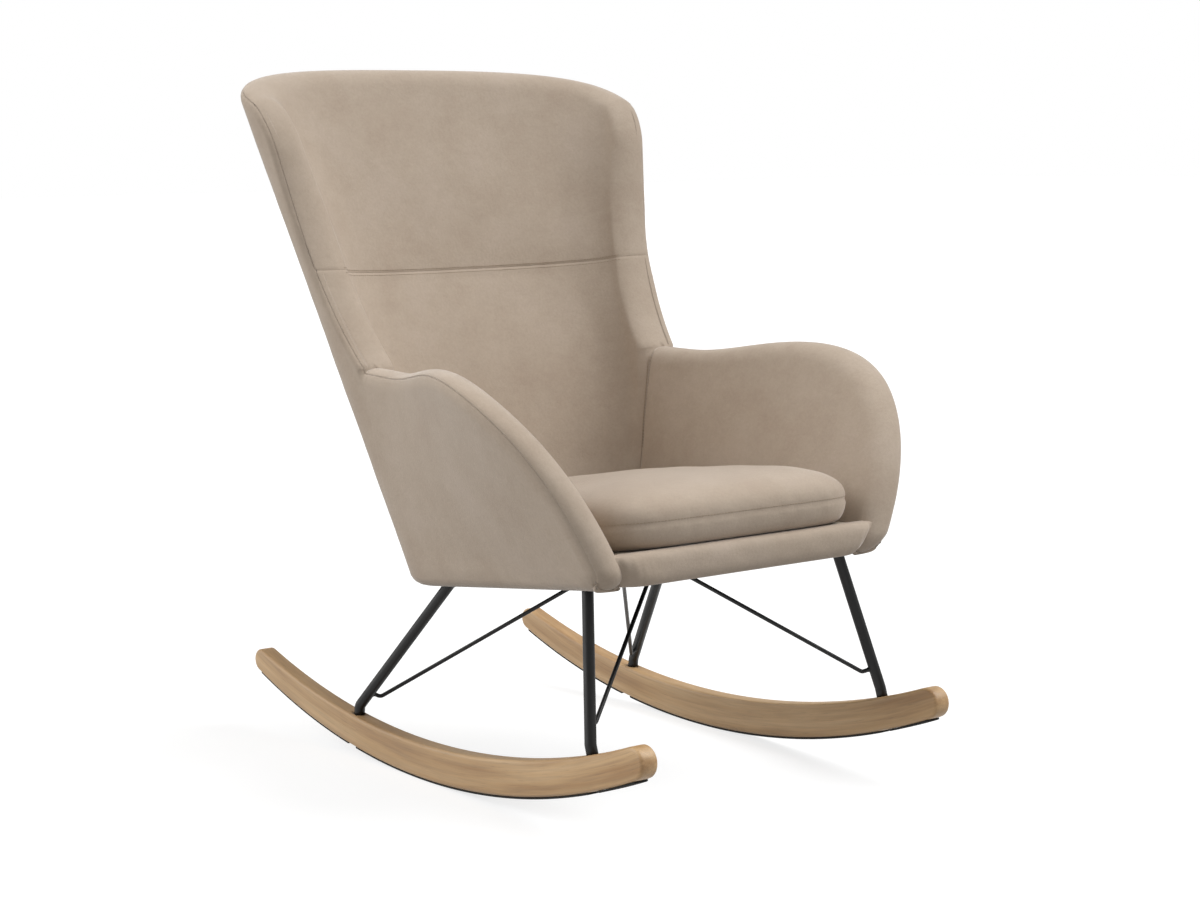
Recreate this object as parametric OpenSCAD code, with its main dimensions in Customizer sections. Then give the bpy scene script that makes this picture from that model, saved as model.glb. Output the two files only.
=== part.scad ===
// Upholstered rocking chair: a winged tub shell with a loose seat cushion, carried by four
// splayed steel legs and four thin braces on two curved wooden rockers.
// Millimetres. +Z is up, -Y is the front, and +X is the sitter's left.
// Heights and reaches are measured from the line where the resting rockers touch the floor.

/* [Balance] */
// Forward roll of the whole chair that brings its weight over the floor contact, in degrees
rest_lean = 1.15; // [0:0.05:3]

/* [Rockers] */
// Radius of the rolling line, at the underside of the tread strips
rocker_radius = 1375; // [1250:5:1500]
// Reach of the rockers ahead of the floor contact
rocker_front_reach = 554; // [520:2:600]
// Reach of the rockers behind the floor contact
rocker_rear_reach = 446; // [400:2:500]
// Distance between the middles of the two rockers
rocker_spacing = 518; // [460:2:560]
// Thickness of a rocker board, side to side
rocker_thickness = 28; // [24:1:34]
// Height of a rocker board in the middle, across its curve
rocker_depth = 50; // [42:1:60]
// Height of a rocker board at its front tip
rocker_front_depth = 44; // [30:1:48]
// Height of a rocker board at its rear tip
rocker_rear_depth = 35; // [30:1:48]
// Thickness of the tread strips under a rocker
strip_thickness = 3; // [2:0.5:5]
// Width of the tread strips
strip_width = 22; // [12:1:24]
// Bare length of rocker left between two strips, under each leg
strip_gap = 22; // [18:1:40]
// How far the strips stop short of the rounded tips
strip_tip_margin = 6; // [2:1:20]

/* [Legs and braces] */
// Outer diameter of the leg tubes
leg_tube = 16; // [14:0.5:20]
// Wall of the leg tubes
leg_wall = 1.6; // [1:0.1:2.5]
// Reach of the front feet ahead of the floor contact
foot_front = 432; // [400:2:470]
// Reach of the rear feet behind the floor contact
foot_rear = 150; // [110:2:200]
// Reach of the tops of the front legs ahead of the floor contact
leg_top_front = 372; // [340:2:390]
// Reach of the tops of the rear legs ahead of the floor contact
leg_top_rear = 12; // [0:2:40]
// Distance between the tops of the two front legs
leg_spread_front = 444; // [400:2:452]
// Distance between the tops of the two rear legs
leg_spread_rear = 398; // [370:2:410]
// Length of the straight foot of a leg above its rocker
foot_stub = 13; // [10:1:30]
// Depth of the socket that a foot stands in
socket_depth = 8; // [5:1:14]
// Diameter of the brace rods
brace_rod = 6; // [4:0.5:8]
// Height of the lower ends of the front braces along their legs, from the bend
brace_rise_front = 30; // [10:1:60]
// Height of the lower ends of the rear braces along their legs, from the bend
brace_rise_rear = 30; // [10:1:60]
// Reach ahead of the floor contact at which the front braces meet the seat
brace_top_front = 250; // [230:2:300]
// Reach ahead of the floor contact at which the rear braces meet the seat
brace_top_rear = 136; // [110:2:190]

/* [Seat] */
// Height of the shell's lower edge above the floor contact
shell_low = 273; // [250:1:300]
// Slope of the seat, front edge up, in degrees
seat_tilt = 8.3; // [4:0.1:11]
// How far the seat board sits above the lower edge of the covers
board_recess = 8; // [6:0.5:14]
// Thickness of the plywood seat board
board_thickness = 15; // [12:1:21]
// Thickness of the padded deck on the board
deck_thickness = 24; // [16:1:40]
// Front edge of the seat, ahead of the floor contact
seat_front = 446; // [420:1:460]
// Thickness of the padded rail along the front of the seat
rail_thickness = 22; // [16:1:30]
// Height of the cushion's side, from the deck to the top seam
cushion_side = 62; // [40:1:80]
// Extra height of the cushion at the middle of its crown
cushion_crown = 34; // [10:1:45]
// How far the cushion's sides draw in between its corners
cushion_draw = 3; // [0:1:15]
// Gap left between the cushion and the padding round it
cushion_gap = 1; // [0.5:0.5:8]

/* [Shell] */
// Height of the top of the back above the floor contact
shell_top = 1015; // [960:1:1060]
// Height of the arms' crest above the floor contact
arm_height = 609; // [580:1:640]
// Drop from the arms' crest to the notch under each wing
notch_drop = 24; // [10:1:40]
// Width of the tub at its lower edge, between the middles of its walls
tub_width_low = 426; // [410:2:470]
// Width of the tub at arm height, between the middles of its walls
tub_width_arm = 536; // [500:2:580]
// Width of the tub at the top, between the middles of its walls
tub_width_top = 674; // [620:2:700]
// Thickness of the upholstered wall
wall = 56; // [48:1:64]
// Slope of the back from the vertical, in degrees
recline = 22.6; // [16:0.2:28]
// Place of the hips behind the floor contact, at the lower edge
hip_setback = -12; // [-30:1:20]
// Depth of the rounded back behind the hips, at the lower edge
bow_low = 115; // [90:1:140]
// Depth of the rounded back behind the hips, at arm height
bow_arm = 112; // [90:1:140]
// Depth of the rounded back behind the hips, at the top
bow_top = 104; // [80:1:130]
// Extra half-width that the arms flare out to
arm_flare = 87; // [50:1:110]
// Radius of the soft edge round the arms and wings
rim_round = 26; // [20:1:28]
// Radius of the rounded lower edge of the outer covers
base_round = 14; // [6:1:20]
// Radius of the lower front corners of the arms
arm_corner = 30; // [20:1:50]
// Radius of the top corners of the wings
wing_corner = 62; // [40:1:110]
// Crown of the top edge above the wing corners
top_crown = 66; // [0:1:90]
// Reach of the notch behind the floor contact
notch_reach = 80; // [60:1:100]
// Reach of the front edge of the wings' tops behind the floor contact
wing_top_reach = 268; // [240:1:290]
// How far the wings' front edge hollows back between notch and top
wing_hollow = 32; // [0:1:40]
// Reach of the arm seam behind the floor contact, at the lower edge
arm_seam_reach = 55; // [40:1:70]
// Height of the cross seam of the back, at the wings
seam_height = 724; // [680:1:780]
// Drop of the cross seam from the wings to the middle
seam_drop = 30; // [0:1:50]

/* [Inner frame] */
// Diameter of the tubes inside the shell
hoop_tube = 17; // [12:0.5:19]
// Distance of the frame tubes from the rim
hoop_inset = 50; // [44:1:60]
// Width of a back strap
strap_width = 50; // [30:1:60]
// Thickness of a back strap
strap_thickness = 2; // [1:0.5:3]
// Number of straps across the back
strap_count = 6; // [2:2:8]

/* [Fasteners] */
// Thickness of the leg plates and brace plates
plate_thickness = 4; // [3:0.5:6]
// Length of a leg plate, front to back
leg_plate_length = 76; // [60:1:90]
// Width of a leg plate
leg_plate_width = 44; // [36:1:50]
// Width of a brace plate, side to side
brace_plate_width = 64; // [50:1:90]
// Length of a brace plate, front to back
brace_plate_length = 30; // [24:1:40]
// Thickness of the cloth under the seat
dust_cloth = 1; // [0.5:0.25:2]
// Diameter of the bolts that hold the legs to the seat
seat_bolt = 6; // [5:0.5:8]
// Diameter of the bolts that hold the feet to the rockers
foot_bolt = 6; // [5:0.5:8]
// Depth of the pocket for the head of a foot bolt
bolt_pocket = 9; // [7:0.5:14]
// Length of the threaded plug inside a foot
plug_length = 18; // [14:1:18]

/* [Hidden] */
// Facets of a full turn on tubes, bolts and boards
$fn = 48;
// Facets of a full turn on the frame tubes inside the shell
hoop_sides = 8;
// Overrun of every cut
cut = 1;
// Gap between pieces that rest on each other
seat_gap = 0.3;
// Clearance of a tube or bolt in its hole, all round
hole_gap = 0.2;
// How much a rounded end or bend swells beyond the bars that it joins
bend_swell = 0.3;
// Gap between a soft edge and the firm piece it meets
soft_gap = 0.8;
// Half the thickness of the hollow between inner and outer upholstery
hollow = hoop_tube / 2 + 3 * soft_gap;
// Thickness of the covers' lower lip
lip = 1.2;
// Half the gap where the inner and outer upholstery meet
meet = seat_gap / 2;
half_wall = wall / 2;
// Thickness left at the very rim, as a share of the wall
rim_share = 0.16;
// Roundness of the plan of the back: 2 is an ellipse, more is squarer
plan_power = 2.3;
// Roundness of the soft edges
edge_power = 2.2;
// Roundness of the arms' outline
arm_power = 2.1;
// How late the top falls away towards the wings
crown_power = 2.5;
// Roundness of the cushion's plan
cushion_power = 6;
// Distance along the wings for each degree before the hips
wing_pitch = bow_arm / 60;
// Where the arms' outline is furthest forward, and where it is highest
arm_outline_low = 340;
arm_outline_mid = -190;
// Where the arms have flared out fully, and where the flare starts in height
flare_full_y = -350;
flare_low_z = 330;
// Length of the shell from a wing's edge to the middle of the back
half_girth = tub_width_top / 2 + bow_top / 2;
strip_inner = rocker_radius - strip_thickness;
board_outer = strip_inner;
front_round = rocker_front_depth / 2;
rear_round = rocker_rear_depth / 2;
notch_height = arm_height - notch_drop;
plate_under = board_recess - dust_cloth - plate_thickness;
board_top = board_recess + board_thickness;
deck_top = board_top + deck_thickness;
bolt_head = 2 * foot_bolt;
pocket_width = bolt_head + 4 * hole_gap;

function mix(a, b, t) = a + (b - a) * t;
function clamp(t) = min(1, max(0, t));
function smooth(t) = let (c = clamp(t)) c * c * (3 - 2 * c);
function down(angle, radius) = [radius * sin(angle), rocker_radius - radius * cos(angle)];

// Middle of the circle through three places
function circle_middle(a, b, c) =
    let (d = 2 * (a[0] * (b[1] - c[1]) + b[0] * (c[1] - a[1]) + c[0] * (a[1] - b[1])))
    [(a * a) * (b[1] - c[1]) + (b * b) * (c[1] - a[1]) + (c * c) * (a[1] - b[1]),
        (a * a) * (c[0] - b[0]) + (b * b) * (a[0] - c[0]) + (c * c) * (b[0] - a[0])] / d;
// Angles of the rounded tips' middles, seen from the middle of the rolling circle
front_tip = -asin((rocker_front_reach - front_round) / (board_outer - front_round));
rear_tip = asin((rocker_rear_reach - rear_round) / (board_outer - rear_round));
// The upper edge of a rocker follows a flatter circle, so the board tapers to both tips
board_crest = [0, strip_thickness + rocker_depth];
crest_middle = circle_middle(
    down(front_tip, board_outer - rocker_front_depth), board_crest,
    down(rear_tip, board_outer - rocker_rear_depth));
crest_radius = norm(crest_middle - board_crest);
// Height of a rocker's upper edge, and its radius and angle from the middle of the rolling circle
function crest_z(y) = crest_middle[1] - sqrt(pow(crest_radius, 2) - pow(y - crest_middle[0], 2));
function foot_radius(y) = norm([y, rocker_radius - crest_z(y)]);
function foot_angle(y) = atan2(y, rocker_radius - crest_z(y));

// A size that changes smoothly through its values at the lower edge, at arm height and at the top
function through(z, low, mid, high) =
    let (a = shell_low, b = arm_height, c = shell_top)
    low * (z - b) * (z - c) / ((a - b) * (a - c))
    + mid * (z - a) * (z - c) / ((b - a) * (b - c))
    + high * (z - a) * (z - b) / ((c - a) * (c - b));

function half_width(z) = through(z, tub_width_low, tub_width_arm, tub_width_top) / 2;
function bow(z) = through(z, bow_low, bow_arm, bow_top);
function hip_y(z) = hip_setback + tan(recline) * (z - shell_low);
function low_z(y) = shell_low - tan(seat_tilt) * y;

// How far the arms stand out beyond the hips
function flare(y, z) =
    arm_flare * clamp((z - flare_low_z) / (arm_height - flare_low_z))
    * smooth((notch_reach - y) / (notch_reach - flare_full_y));

// Point of the shell at a height: turn 0 is the hip, 90 the middle of the back, and less than 0
// is ahead of the hips; out is the offset from the middle of the wall
function tub(turn, z, out) =
    turn < 0
    ? let (y = hip_y(z) + turn * wing_pitch)
        [half_width(z) + out + flare(y, z), y, z]
    : [(half_width(z) + out) * pow(max(0, cos(turn)), 2 / plan_power),
        hip_y(z) + (bow(z) + out) * pow(sin(turn), 2 / plan_power), z];
function turn_at(y, z) =
    let (back = y - hip_y(z))
    back <= 0 ? back / wing_pitch : asin(pow(back / bow(z), plan_power / 2));
// The same, by the place of the wall's middle instead of the turn
function skin(y, z, out) = tub(turn_at(y, z), z, out);

// Where the back ends and the arms begin; above the notch this is the wings' front edge
function split_y(z) =
    z < notch_height
    ? mix(arm_seam_reach, notch_reach, (z - shell_low) / (notch_height - shell_low))
    : let (t = (z - notch_height) / (shell_top - notch_height))
        mix(notch_reach, wing_top_reach, t) + wing_hollow * 6.75 * t * pow(1 - t, 2);

// Half the thickness of the wall at a distance from its rim
function rim_half(d) =
    half_wall * max(rim_share,
        d >= rim_round ? 1 : pow(1 - pow(1 - max(0, d) / rim_round, edge_power), 1 / edge_power));
// Half the hollow at a distance from the rim
function hollow_half(d) = d > 0.7 * rim_round ? hollow : meet;

// A closed solid between two grids of points, the second on the left-hand side of the first
module between(front, back) {
    rows = len(front);
    cols = len(front[0]);
    n = rows * cols;
    rim = concat(
        [for (j = [0:cols - 2]) j],
        [for (i = [0:rows - 2]) i * cols + cols - 1],
        [for (j = [cols - 1:-1:1]) (rows - 1) * cols + j],
        [for (i = [rows - 1:-1:1]) i * cols]);
    polyhedron(
        concat([for (row = front) each row], [for (row = back) each row]),
        concat(
            [for (i = [0:rows - 2], j = [0:cols - 2])
                let (a = i * cols + j) [a, a + 1, a + cols + 1, a + cols]],
            [for (i = [0:rows - 2], j = [0:cols - 2])
                let (a = n + i * cols + j) [a, a + cols, a + cols + 1, a + 1]],
            [for (k = [0:len(rim) - 1])
                let (a = rim[k], b = rim[(k + 1) % len(rim)]) [a, n + a, n + b, b]]),
        convexity = 6);
}

// A tube of few sides swept along a path that never runs along its steady direction
module sweep(path, radius, sides, steady = [0, 0, 1]) {
    last = len(path) - 1;
    rings = [for (i = [0:last])
        let (ahead = path[min(last, i + 1)] - path[max(0, i - 1)],
            t = ahead / norm(ahead),
            side = cross(t, steady),
            u = side / norm(side),
            v = cross(t, u))
        [for (k = [0:sides - 1]) let (a = 360 * k / sides)
            path[i] + radius * (cos(a) * u + sin(a) * v)]];
    polyhedron(
        [for (ring = rings) each ring],
        concat(
            [[for (k = [0:sides - 1]) k]],
            [[for (k = [sides - 1:-1:0]) last * sides + k]],
            [for (i = [0:last - 1], k = [0:sides - 1])
                let (a = i * sides + k, b = i * sides + (k + 1) % sides)
                [a, a + sides, b + sides, b]]));
}

// Rolls the whole chair to its rest and puts it so that its rockers are centred on the origin
front_extent = front_round + bend_swell - (board_outer - front_round) * sin(front_tip + rest_lean);
rear_extent = rear_round + bend_swell + (board_outer - rear_round) * sin(rear_tip + rest_lean);
module stand() {
    translate([0, (front_extent - rear_extent) / 2, rocker_radius])
        rotate([rest_lean, 0, 0]) translate([0, 0, -rocker_radius]) children();
}
// The sitter's right-hand piece is the mirror image of the left-hand one
module right() { mirror([1, 0, 0]) children(); }
// A frame that lies along the underside of the seat, with its height square to it
module on_seat(lift = 0) {
    translate([0, 0, shell_low + rise(lift)]) rotate([-seat_tilt, 0, 0]) children();
}
// The place along the seat's slope of a reach behind the contact, at a height square to the seat
function along_seat(y, lift = 0) = y / cos(seat_tilt) - lift * tan(seat_tilt);
// A height square to the seat, measured straight up
function rise(height) = height / cos(seat_tilt);
module rod(p, q, radius) {
    d = q - p;
    translate(p)
        rotate([0, acos(d[2] / norm(d)), atan2(d[1], d[0])])
            cylinder(r = radius, h = norm(d));
}
// A rod from p to r that is bent at q, a little thicker in the bend
module bent_rod(p, q, r, radius) {
    rod(p, q, radius);
    translate(q) sphere(r = radius + bend_swell);
    rod(q, r, radius);
}
// The place a distance past b on the way from a
function beyond(a, b, distance) = b + (b - a) / norm(b - a) * distance;
// A frame at the foot of a leg, at a depth below the rocker's upper edge: +Z points to the
// middle of the rolling circle
module at_foot(reach, depth) {
    a = foot_angle(reach);
    p = down(a, foot_radius(reach) + depth);
    translate([rocker_spacing / 2, p[0], p[1]]) rotate([a, 0, 0]) children();
}
// Thickness of the rocker under a foot
function foot_depth(reach) = board_outer - foot_radius(reach);
// Cuts off what reaches above the underside of the leg plates
module below_plates() {
    big = 2 * rocker_spacing;
    difference() {
        children();
        on_seat(plate_under) translate([-big / 2, -big, 0]) cube([big, 2 * big, big]);
    }
}

// A bar bent along the rolling circle between two angles, made by turning its cross-section
module curved_bar(from, to) {
    translate([0, 0, rocker_radius])
        rotate([0, 90, 0]) rotate([0, 0, from])
            rotate_extrude(angle = to - from, $fn = 360) children();
}
module turned(angle) {
    translate([0, rocker_radius]) rotate(angle) translate([0, -rocker_radius]) children();
}
// Side view of a rocker: a crescent between two circles, cut off and rounded at both tips
module rocker_outline() {
    far = 2 * rocker_radius;
    difference() {
        translate([0, rocker_radius]) circle(r = board_outer, $fn = 360);
        translate(crest_middle) circle(r = crest_radius, $fn = 360);
        turned(front_tip) translate([-far, -far]) square([far, 2 * far]);
        turned(rear_tip) translate([0, -far]) square([far, 2 * far]);
    }
    translate(down(front_tip, board_outer - front_round)) circle(r = front_round + bend_swell);
    translate(down(rear_tip, board_outer - rear_round)) circle(r = rear_round + bend_swell);
}
module rocker() {
    difference() {
        translate([(rocker_spacing - rocker_thickness) / 2, 0, 0])
            rotate([90, 0, 90]) linear_extrude(rocker_thickness) rocker_outline();
        for (reach = [-foot_front, foot_rear]) {
            at_foot(reach, socket_depth)
                cylinder(r = leg_tube / 2 + hole_gap, h = socket_depth + 2 * cut);
            at_foot(reach, foot_depth(reach) + cut) {
                cylinder(r = foot_bolt / 2 + hole_gap, h = rocker_depth);
                cylinder(r = pocket_width / 2, h = bolt_pocket + cut);
            }
        }
    }
}
module rocker_left() { color([0.72, 0.56, 0.38]) stand() rocker(); }
module rocker_right() { color([0.72, 0.56, 0.38]) stand() right() rocker(); }

// Half the angle of the bare stretch under a foot, and the angle that the tips leave free
gap_angle = strip_gap / 2 / rocker_radius * 180 / PI;
tip_angle = strip_tip_margin / rocker_radius * 180 / PI;
front_foot_angle = foot_angle(-foot_front);
rear_foot_angle = foot_angle(foot_rear);
module strip(from, to) {
    translate([rocker_spacing / 2, 0, 0])
        curved_bar(from, to)
            translate([strip_inner, -strip_width / 2]) square([strip_thickness, strip_width]);
}
module strip_front() { strip(front_tip + tip_angle, front_foot_angle - gap_angle); }
module strip_middle() { strip(front_foot_angle + gap_angle, rear_foot_angle - gap_angle); }
module strip_rear() { strip(rear_foot_angle + gap_angle, rear_tip - tip_angle); }
module strip_front_left() { color([0.06, 0.05, 0.05]) stand() strip_front(); }
module strip_middle_left() { color([0.06, 0.05, 0.05]) stand() strip_middle(); }
module strip_rear_left() { color([0.06, 0.05, 0.05]) stand() strip_rear(); }
module strip_front_right() { color([0.06, 0.05, 0.05]) stand() right() strip_front(); }
module strip_middle_right() { color([0.06, 0.05, 0.05]) stand() right() strip_middle(); }
module strip_rear_right() { color([0.06, 0.05, 0.05]) stand() right() strip_rear(); }

// Points of a leg: its foot in the socket, its bend, and its top at the leg plate
function foot_point(reach, up) =
    let (p = down(foot_angle(reach), foot_radius(reach) - up))
    [rocker_spacing / 2, p[0], p[1]];
function top_point(top_y, spread) =
    [spread / 2, top_y, low_z(top_y) + rise(plate_under)];
module leg(reach, top_y, spread) {
    foot = foot_point(reach, seat_gap - socket_depth);
    bend = foot_point(reach, foot_stub);
    top = top_point(top_y, spread);
    over = beyond(bend, top, leg_tube);
    bore = leg_tube / 2 - leg_wall;
    below_plates() difference() {
        bent_rod(foot, bend, over, leg_tube / 2);
        bent_rod(beyond(bend, foot, cut), bend, beyond(bend, over, cut), bore);
    }
}
module leg_front() { leg(-foot_front, -leg_top_front, leg_spread_front); }
module leg_rear() { leg(foot_rear, -leg_top_rear, leg_spread_rear); }
module leg_front_left() { color([0.13, 0.13, 0.13]) stand() leg_front(); }
module leg_front_right() { color([0.13, 0.13, 0.13]) stand() right() leg_front(); }
module leg_rear_left() { color([0.13, 0.13, 0.13]) stand() leg_rear(); }
module leg_rear_right() { color([0.13, 0.13, 0.13]) stand() right() leg_rear(); }

// A brace leaves its leg square to it, bends, and runs up to the plate under the seat
module brace(reach, top_y, spread, rise, meet_y) {
    bend = foot_point(reach, foot_stub);
    top = top_point(top_y, spread);
    dir = (top - bend) / norm(top - bend);
    at_leg = bend + dir * rise;
    goal = [brace_plate_width / 4, meet_y, low_z(meet_y) + rise(plate_under)];
    aim = goal - at_leg;
    square_on = aim - dir * (aim * dir);
    away = square_on / norm(square_on);
    start = at_leg + away * (leg_tube / 2 + hole_gap);
    knee = start + away * 1.7 * brace_rod;
    below_plates() bent_rod(start, knee, beyond(knee, goal, 2 * brace_rod), brace_rod / 2);
}
module brace_front() {
    brace(-foot_front, -leg_top_front, leg_spread_front, brace_rise_front, -brace_top_front);
}
module brace_rear() {
    brace(foot_rear, -leg_top_rear, leg_spread_rear, brace_rise_rear, -brace_top_rear);
}
module brace_front_left() { color([0.13, 0.13, 0.13]) stand() brace_front(); }
module brace_front_right() { color([0.13, 0.13, 0.13]) stand() right() brace_front(); }
module brace_rear_left() { color([0.13, 0.13, 0.13]) stand() brace_rear(); }
module brace_rear_right() { color([0.13, 0.13, 0.13]) stand() right() brace_rear(); }

// A plate with round corners and its bolt holes, flat against the cloth under the seat
module plate(width, length, hole) {
    corner = plate_thickness;
    on_seat(plate_under) linear_extrude(plate_thickness) difference() {
        union() {
            square([width - 2 * corner, length], center = true);
            square([width, length - 2 * corner], center = true);
            for (sx = [-1, 1], sy = [-1, 1])
                translate([sx * (width / 2 - corner), sy * (length / 2 - corner)]) circle(r = corner);
        }
        children();
    }
}
// Middle of a leg plate, side to side: it reaches out to the leg and in from the covers
function plate_x(spread) = spread / 2 + leg_tube / 2 - leg_plate_width / 2;
leg_bolt_pitch = leg_plate_length - 3 * seat_bolt;
module leg_plate(top_y, spread) {
    translate([plate_x(spread), 0, 0])
        translate([0, top_y, -tan(seat_tilt) * top_y])
            plate(leg_plate_width, leg_plate_length)
                for (s = [-1, 1]) translate([0, s * leg_bolt_pitch / 2])
                    circle(r = seat_bolt / 2 + hole_gap);
}
module leg_plate_front() { leg_plate(-leg_top_front, leg_spread_front); }
module leg_plate_rear() { leg_plate(-leg_top_rear, leg_spread_rear); }
module leg_plate_front_left() { color([0.13, 0.13, 0.13]) stand() leg_plate_front(); }
module leg_plate_front_right() { color([0.13, 0.13, 0.13]) stand() right() leg_plate_front(); }
module leg_plate_rear_left() { color([0.13, 0.13, 0.13]) stand() leg_plate_rear(); }
module leg_plate_rear_right() { color([0.13, 0.13, 0.13]) stand() right() leg_plate_rear(); }

brace_screw_pitch = brace_plate_length - 2 * seat_bolt;
module brace_plate(meet_y) {
    translate([0, meet_y, -tan(seat_tilt) * meet_y])
        plate(brace_plate_width, brace_plate_length)
            for (s = [-1, 1]) translate([0, s * brace_screw_pitch / 2])
                circle(r = seat_bolt / 3 + hole_gap);
}
module brace_plate_front() { color([0.13, 0.13, 0.13]) stand() brace_plate(-brace_top_front); }
module brace_plate_rear() { color([0.13, 0.13, 0.13]) stand() brace_plate(-brace_top_rear); }

// Places of the leg bolts and brace screws in the frame of the seat
leg_bolt_places = [for (sx = [-1, 1], s = [-1, 1])
    each [
        [sx * plate_x(leg_spread_front),
            along_seat(-leg_top_front, plate_under) + s * leg_bolt_pitch / 2],
        [sx * plate_x(leg_spread_rear),
            along_seat(-leg_top_rear, plate_under) + s * leg_bolt_pitch / 2]]];
brace_screw_places = [for (y = [-brace_top_front, -brace_top_rear], s = [-1, 1])
    [0, along_seat(y, plate_under) + s * brace_screw_pitch / 2]];
tee_flange = seat_bolt / 4;
module button_head(size, height) {
    intersection() {
        translate([0, 0, height - 2 * size]) sphere(r = 2 * size);
        cylinder(r = size, h = height);
    }
}
module leg_bolts() {
    color([0.1, 0.1, 0.1]) stand() on_seat() for (p = leg_bolt_places) translate([p[0], p[1], 0]) {
        translate([0, 0, plate_under - seat_gap]) mirror([0, 0, 1])
            button_head(seat_bolt, seat_bolt / 2);
        translate([0, 0, plate_under - seat_gap])
            cylinder(r = seat_bolt / 2, h = board_top - 2 * tee_flange - plate_under);
    }
}
module tee_nuts() {
    color([0.7, 0.7, 0.7]) stand() on_seat() for (p = leg_bolt_places) translate([p[0], p[1], 0])
        difference() {
            union() {
                translate([0, 0, board_top - tee_flange])
                    cylinder(r = 1.5 * seat_bolt, h = tee_flange - seat_gap);
                translate([0, 0, board_top - board_thickness / 2])
                    cylinder(r = seat_bolt / 2 + tee_flange, h = board_thickness / 2 - seat_gap);
            }
            translate([0, 0, board_recess])
                cylinder(r = seat_bolt / 2 + hole_gap / 2, h = 2 * board_thickness);
        }
}
module brace_screws() {
    color([0.1, 0.1, 0.1]) stand() on_seat() for (p = brace_screw_places) translate([p[0], p[1], 0]) {
        translate([0, 0, plate_under - seat_gap]) mirror([0, 0, 1])
            button_head(0.8 * seat_bolt, seat_bolt / 3);
        translate([0, 0, plate_under - seat_gap])
            cylinder(r = seat_bolt / 3, h = board_recess + board_thickness / 2 - plate_under);
    }
}
module foot_bolts() {
    head = 0.8 * foot_bolt;
    color([0.1, 0.1, 0.1]) stand() for (side = [0, 1], reach = [-foot_front, foot_rear])
        mirror([side, 0, 0]) at_foot(reach, foot_depth(reach) - bolt_pocket + seat_gap) {
            translate([0, 0, -head]) difference() {
                cylinder(r = bolt_head / 2, h = head);
                translate([0, 0, -cut]) cylinder(r = foot_bolt / 2, h = head / 2 + cut, $fn = 6);
            }
            cylinder(r = foot_bolt / 2, h = foot_depth(reach) - bolt_pocket - socket_depth + plug_length);
        }
}
module foot_plugs() {
    color([0.7, 0.7, 0.7]) stand() for (side = [0, 1], reach = [-foot_front, foot_rear])
        mirror([side, 0, 0]) at_foot(reach, socket_depth - 2 * seat_gap)
            difference() {
                cylinder(r = leg_tube / 2 - leg_wall - hole_gap / 2, h = plug_length);
                translate([0, 0, -cut])
                    cylinder(r = foot_bolt / 2 + hole_gap / 2, h = plug_length + 2 * cut);
            }
}

// Outline of the seat at a height above the covers' lower edge, from front right round to front left
seat_steps = 16;
function seat_half(base, out, front_y, corner) = [for (i = [0:seat_steps])
    let (t = i / seat_steps,
        z0 = shell_low + base,
        start = turn_at(front_y, low_z(front_y) + base),
        turn = t < 0.5 ? mix(start, 0, 2 * t) : mix(0, 90, 2 * t - 1),
        reach = mix(front_y, hip_y(z0), 2 * t),
        guess = tub(turn, z0, out)[1],
        p = turn < 0
            ? skin(reach, low_z(reach) + base, i == 0 ? out - corner : out)
            : tub(turn, low_z(guess) + base, out))
    [p[0], p[1], low_z(p[1]) + base]];
function seat_ring(base, out, front_y, corner = 0) =
    let (half = seat_half(base, out, front_y, corner))
    concat(half, [for (i = [seat_steps - 1:-1:0]) [-half[i][0], half[i][1], half[i][2]]]);
module seat_slab(base, thickness, out, front_y, corner = 0) {
    ring = seat_ring(base, out, front_y, corner);
    on_seat(base) linear_extrude(thickness) polygon([for (p = ring) [p[0], along_seat(p[1])]]);
}
board_front = rail_thickness - seat_front;
// How much the board narrows at its front corners, where the arms' covers close in on it
board_corner = rail_thickness / 5;
module dust_cover() {
    color([0.08, 0.08, 0.08]) stand() difference() {
        seat_slab(board_recess - dust_cloth, dust_cloth, -hollow, board_front + rail_thickness / 2);
        on_seat() for (p = concat(leg_bolt_places, brace_screw_places))
            translate([p[0], p[1], 0]) cylinder(r = seat_bolt / 2 + 2 * hole_gap, h = board_top);
    }
}
module seat_board() {
    color([0.8, 0.68, 0.5]) stand() difference() {
        seat_slab(board_recess, board_thickness, hollow - 4 * soft_gap, board_front, board_corner);
        on_seat() {
            for (p = leg_bolt_places) translate([p[0], p[1], 0]) {
                cylinder(r = seat_bolt / 2 + 2 * hole_gap, h = 2 * board_top);
                translate([0, 0, board_top - tee_flange - seat_gap])
                    cylinder(r = 1.5 * seat_bolt + hole_gap, h = 2 * tee_flange);
                translate([0, 0, board_top - board_thickness / 2 - seat_gap])
                    cylinder(r = seat_bolt / 2 + tee_flange + hole_gap, h = board_thickness);
            }
            for (p = brace_screw_places) translate([p[0], p[1], 0])
                cylinder(r = seat_bolt / 3 + hole_gap, h = board_recess + board_thickness * 2 / 3);
        }
    }
}
// The deck follows the inner upholstery, so it is a little wider at its top than at its foot
module seat_deck() {
    side = -half_wall - 2 * soft_gap;
    foot = seat_ring(rise(board_top) + seat_gap, side, board_front + soft_gap);
    head = seat_ring(deck_top, side, board_front + soft_gap);
    n = len(foot);
    color([0.66, 0.6, 0.52]) stand() polyhedron(concat(foot, head), concat(
        [[for (i = [0:n - 1]) i]],
        [[for (i = [n - 1:-1:0]) n + i]],
        [for (i = [0:n - 1]) let (j = (i + 1) % n) [i, n + i, n + j, j]]));
}

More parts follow.
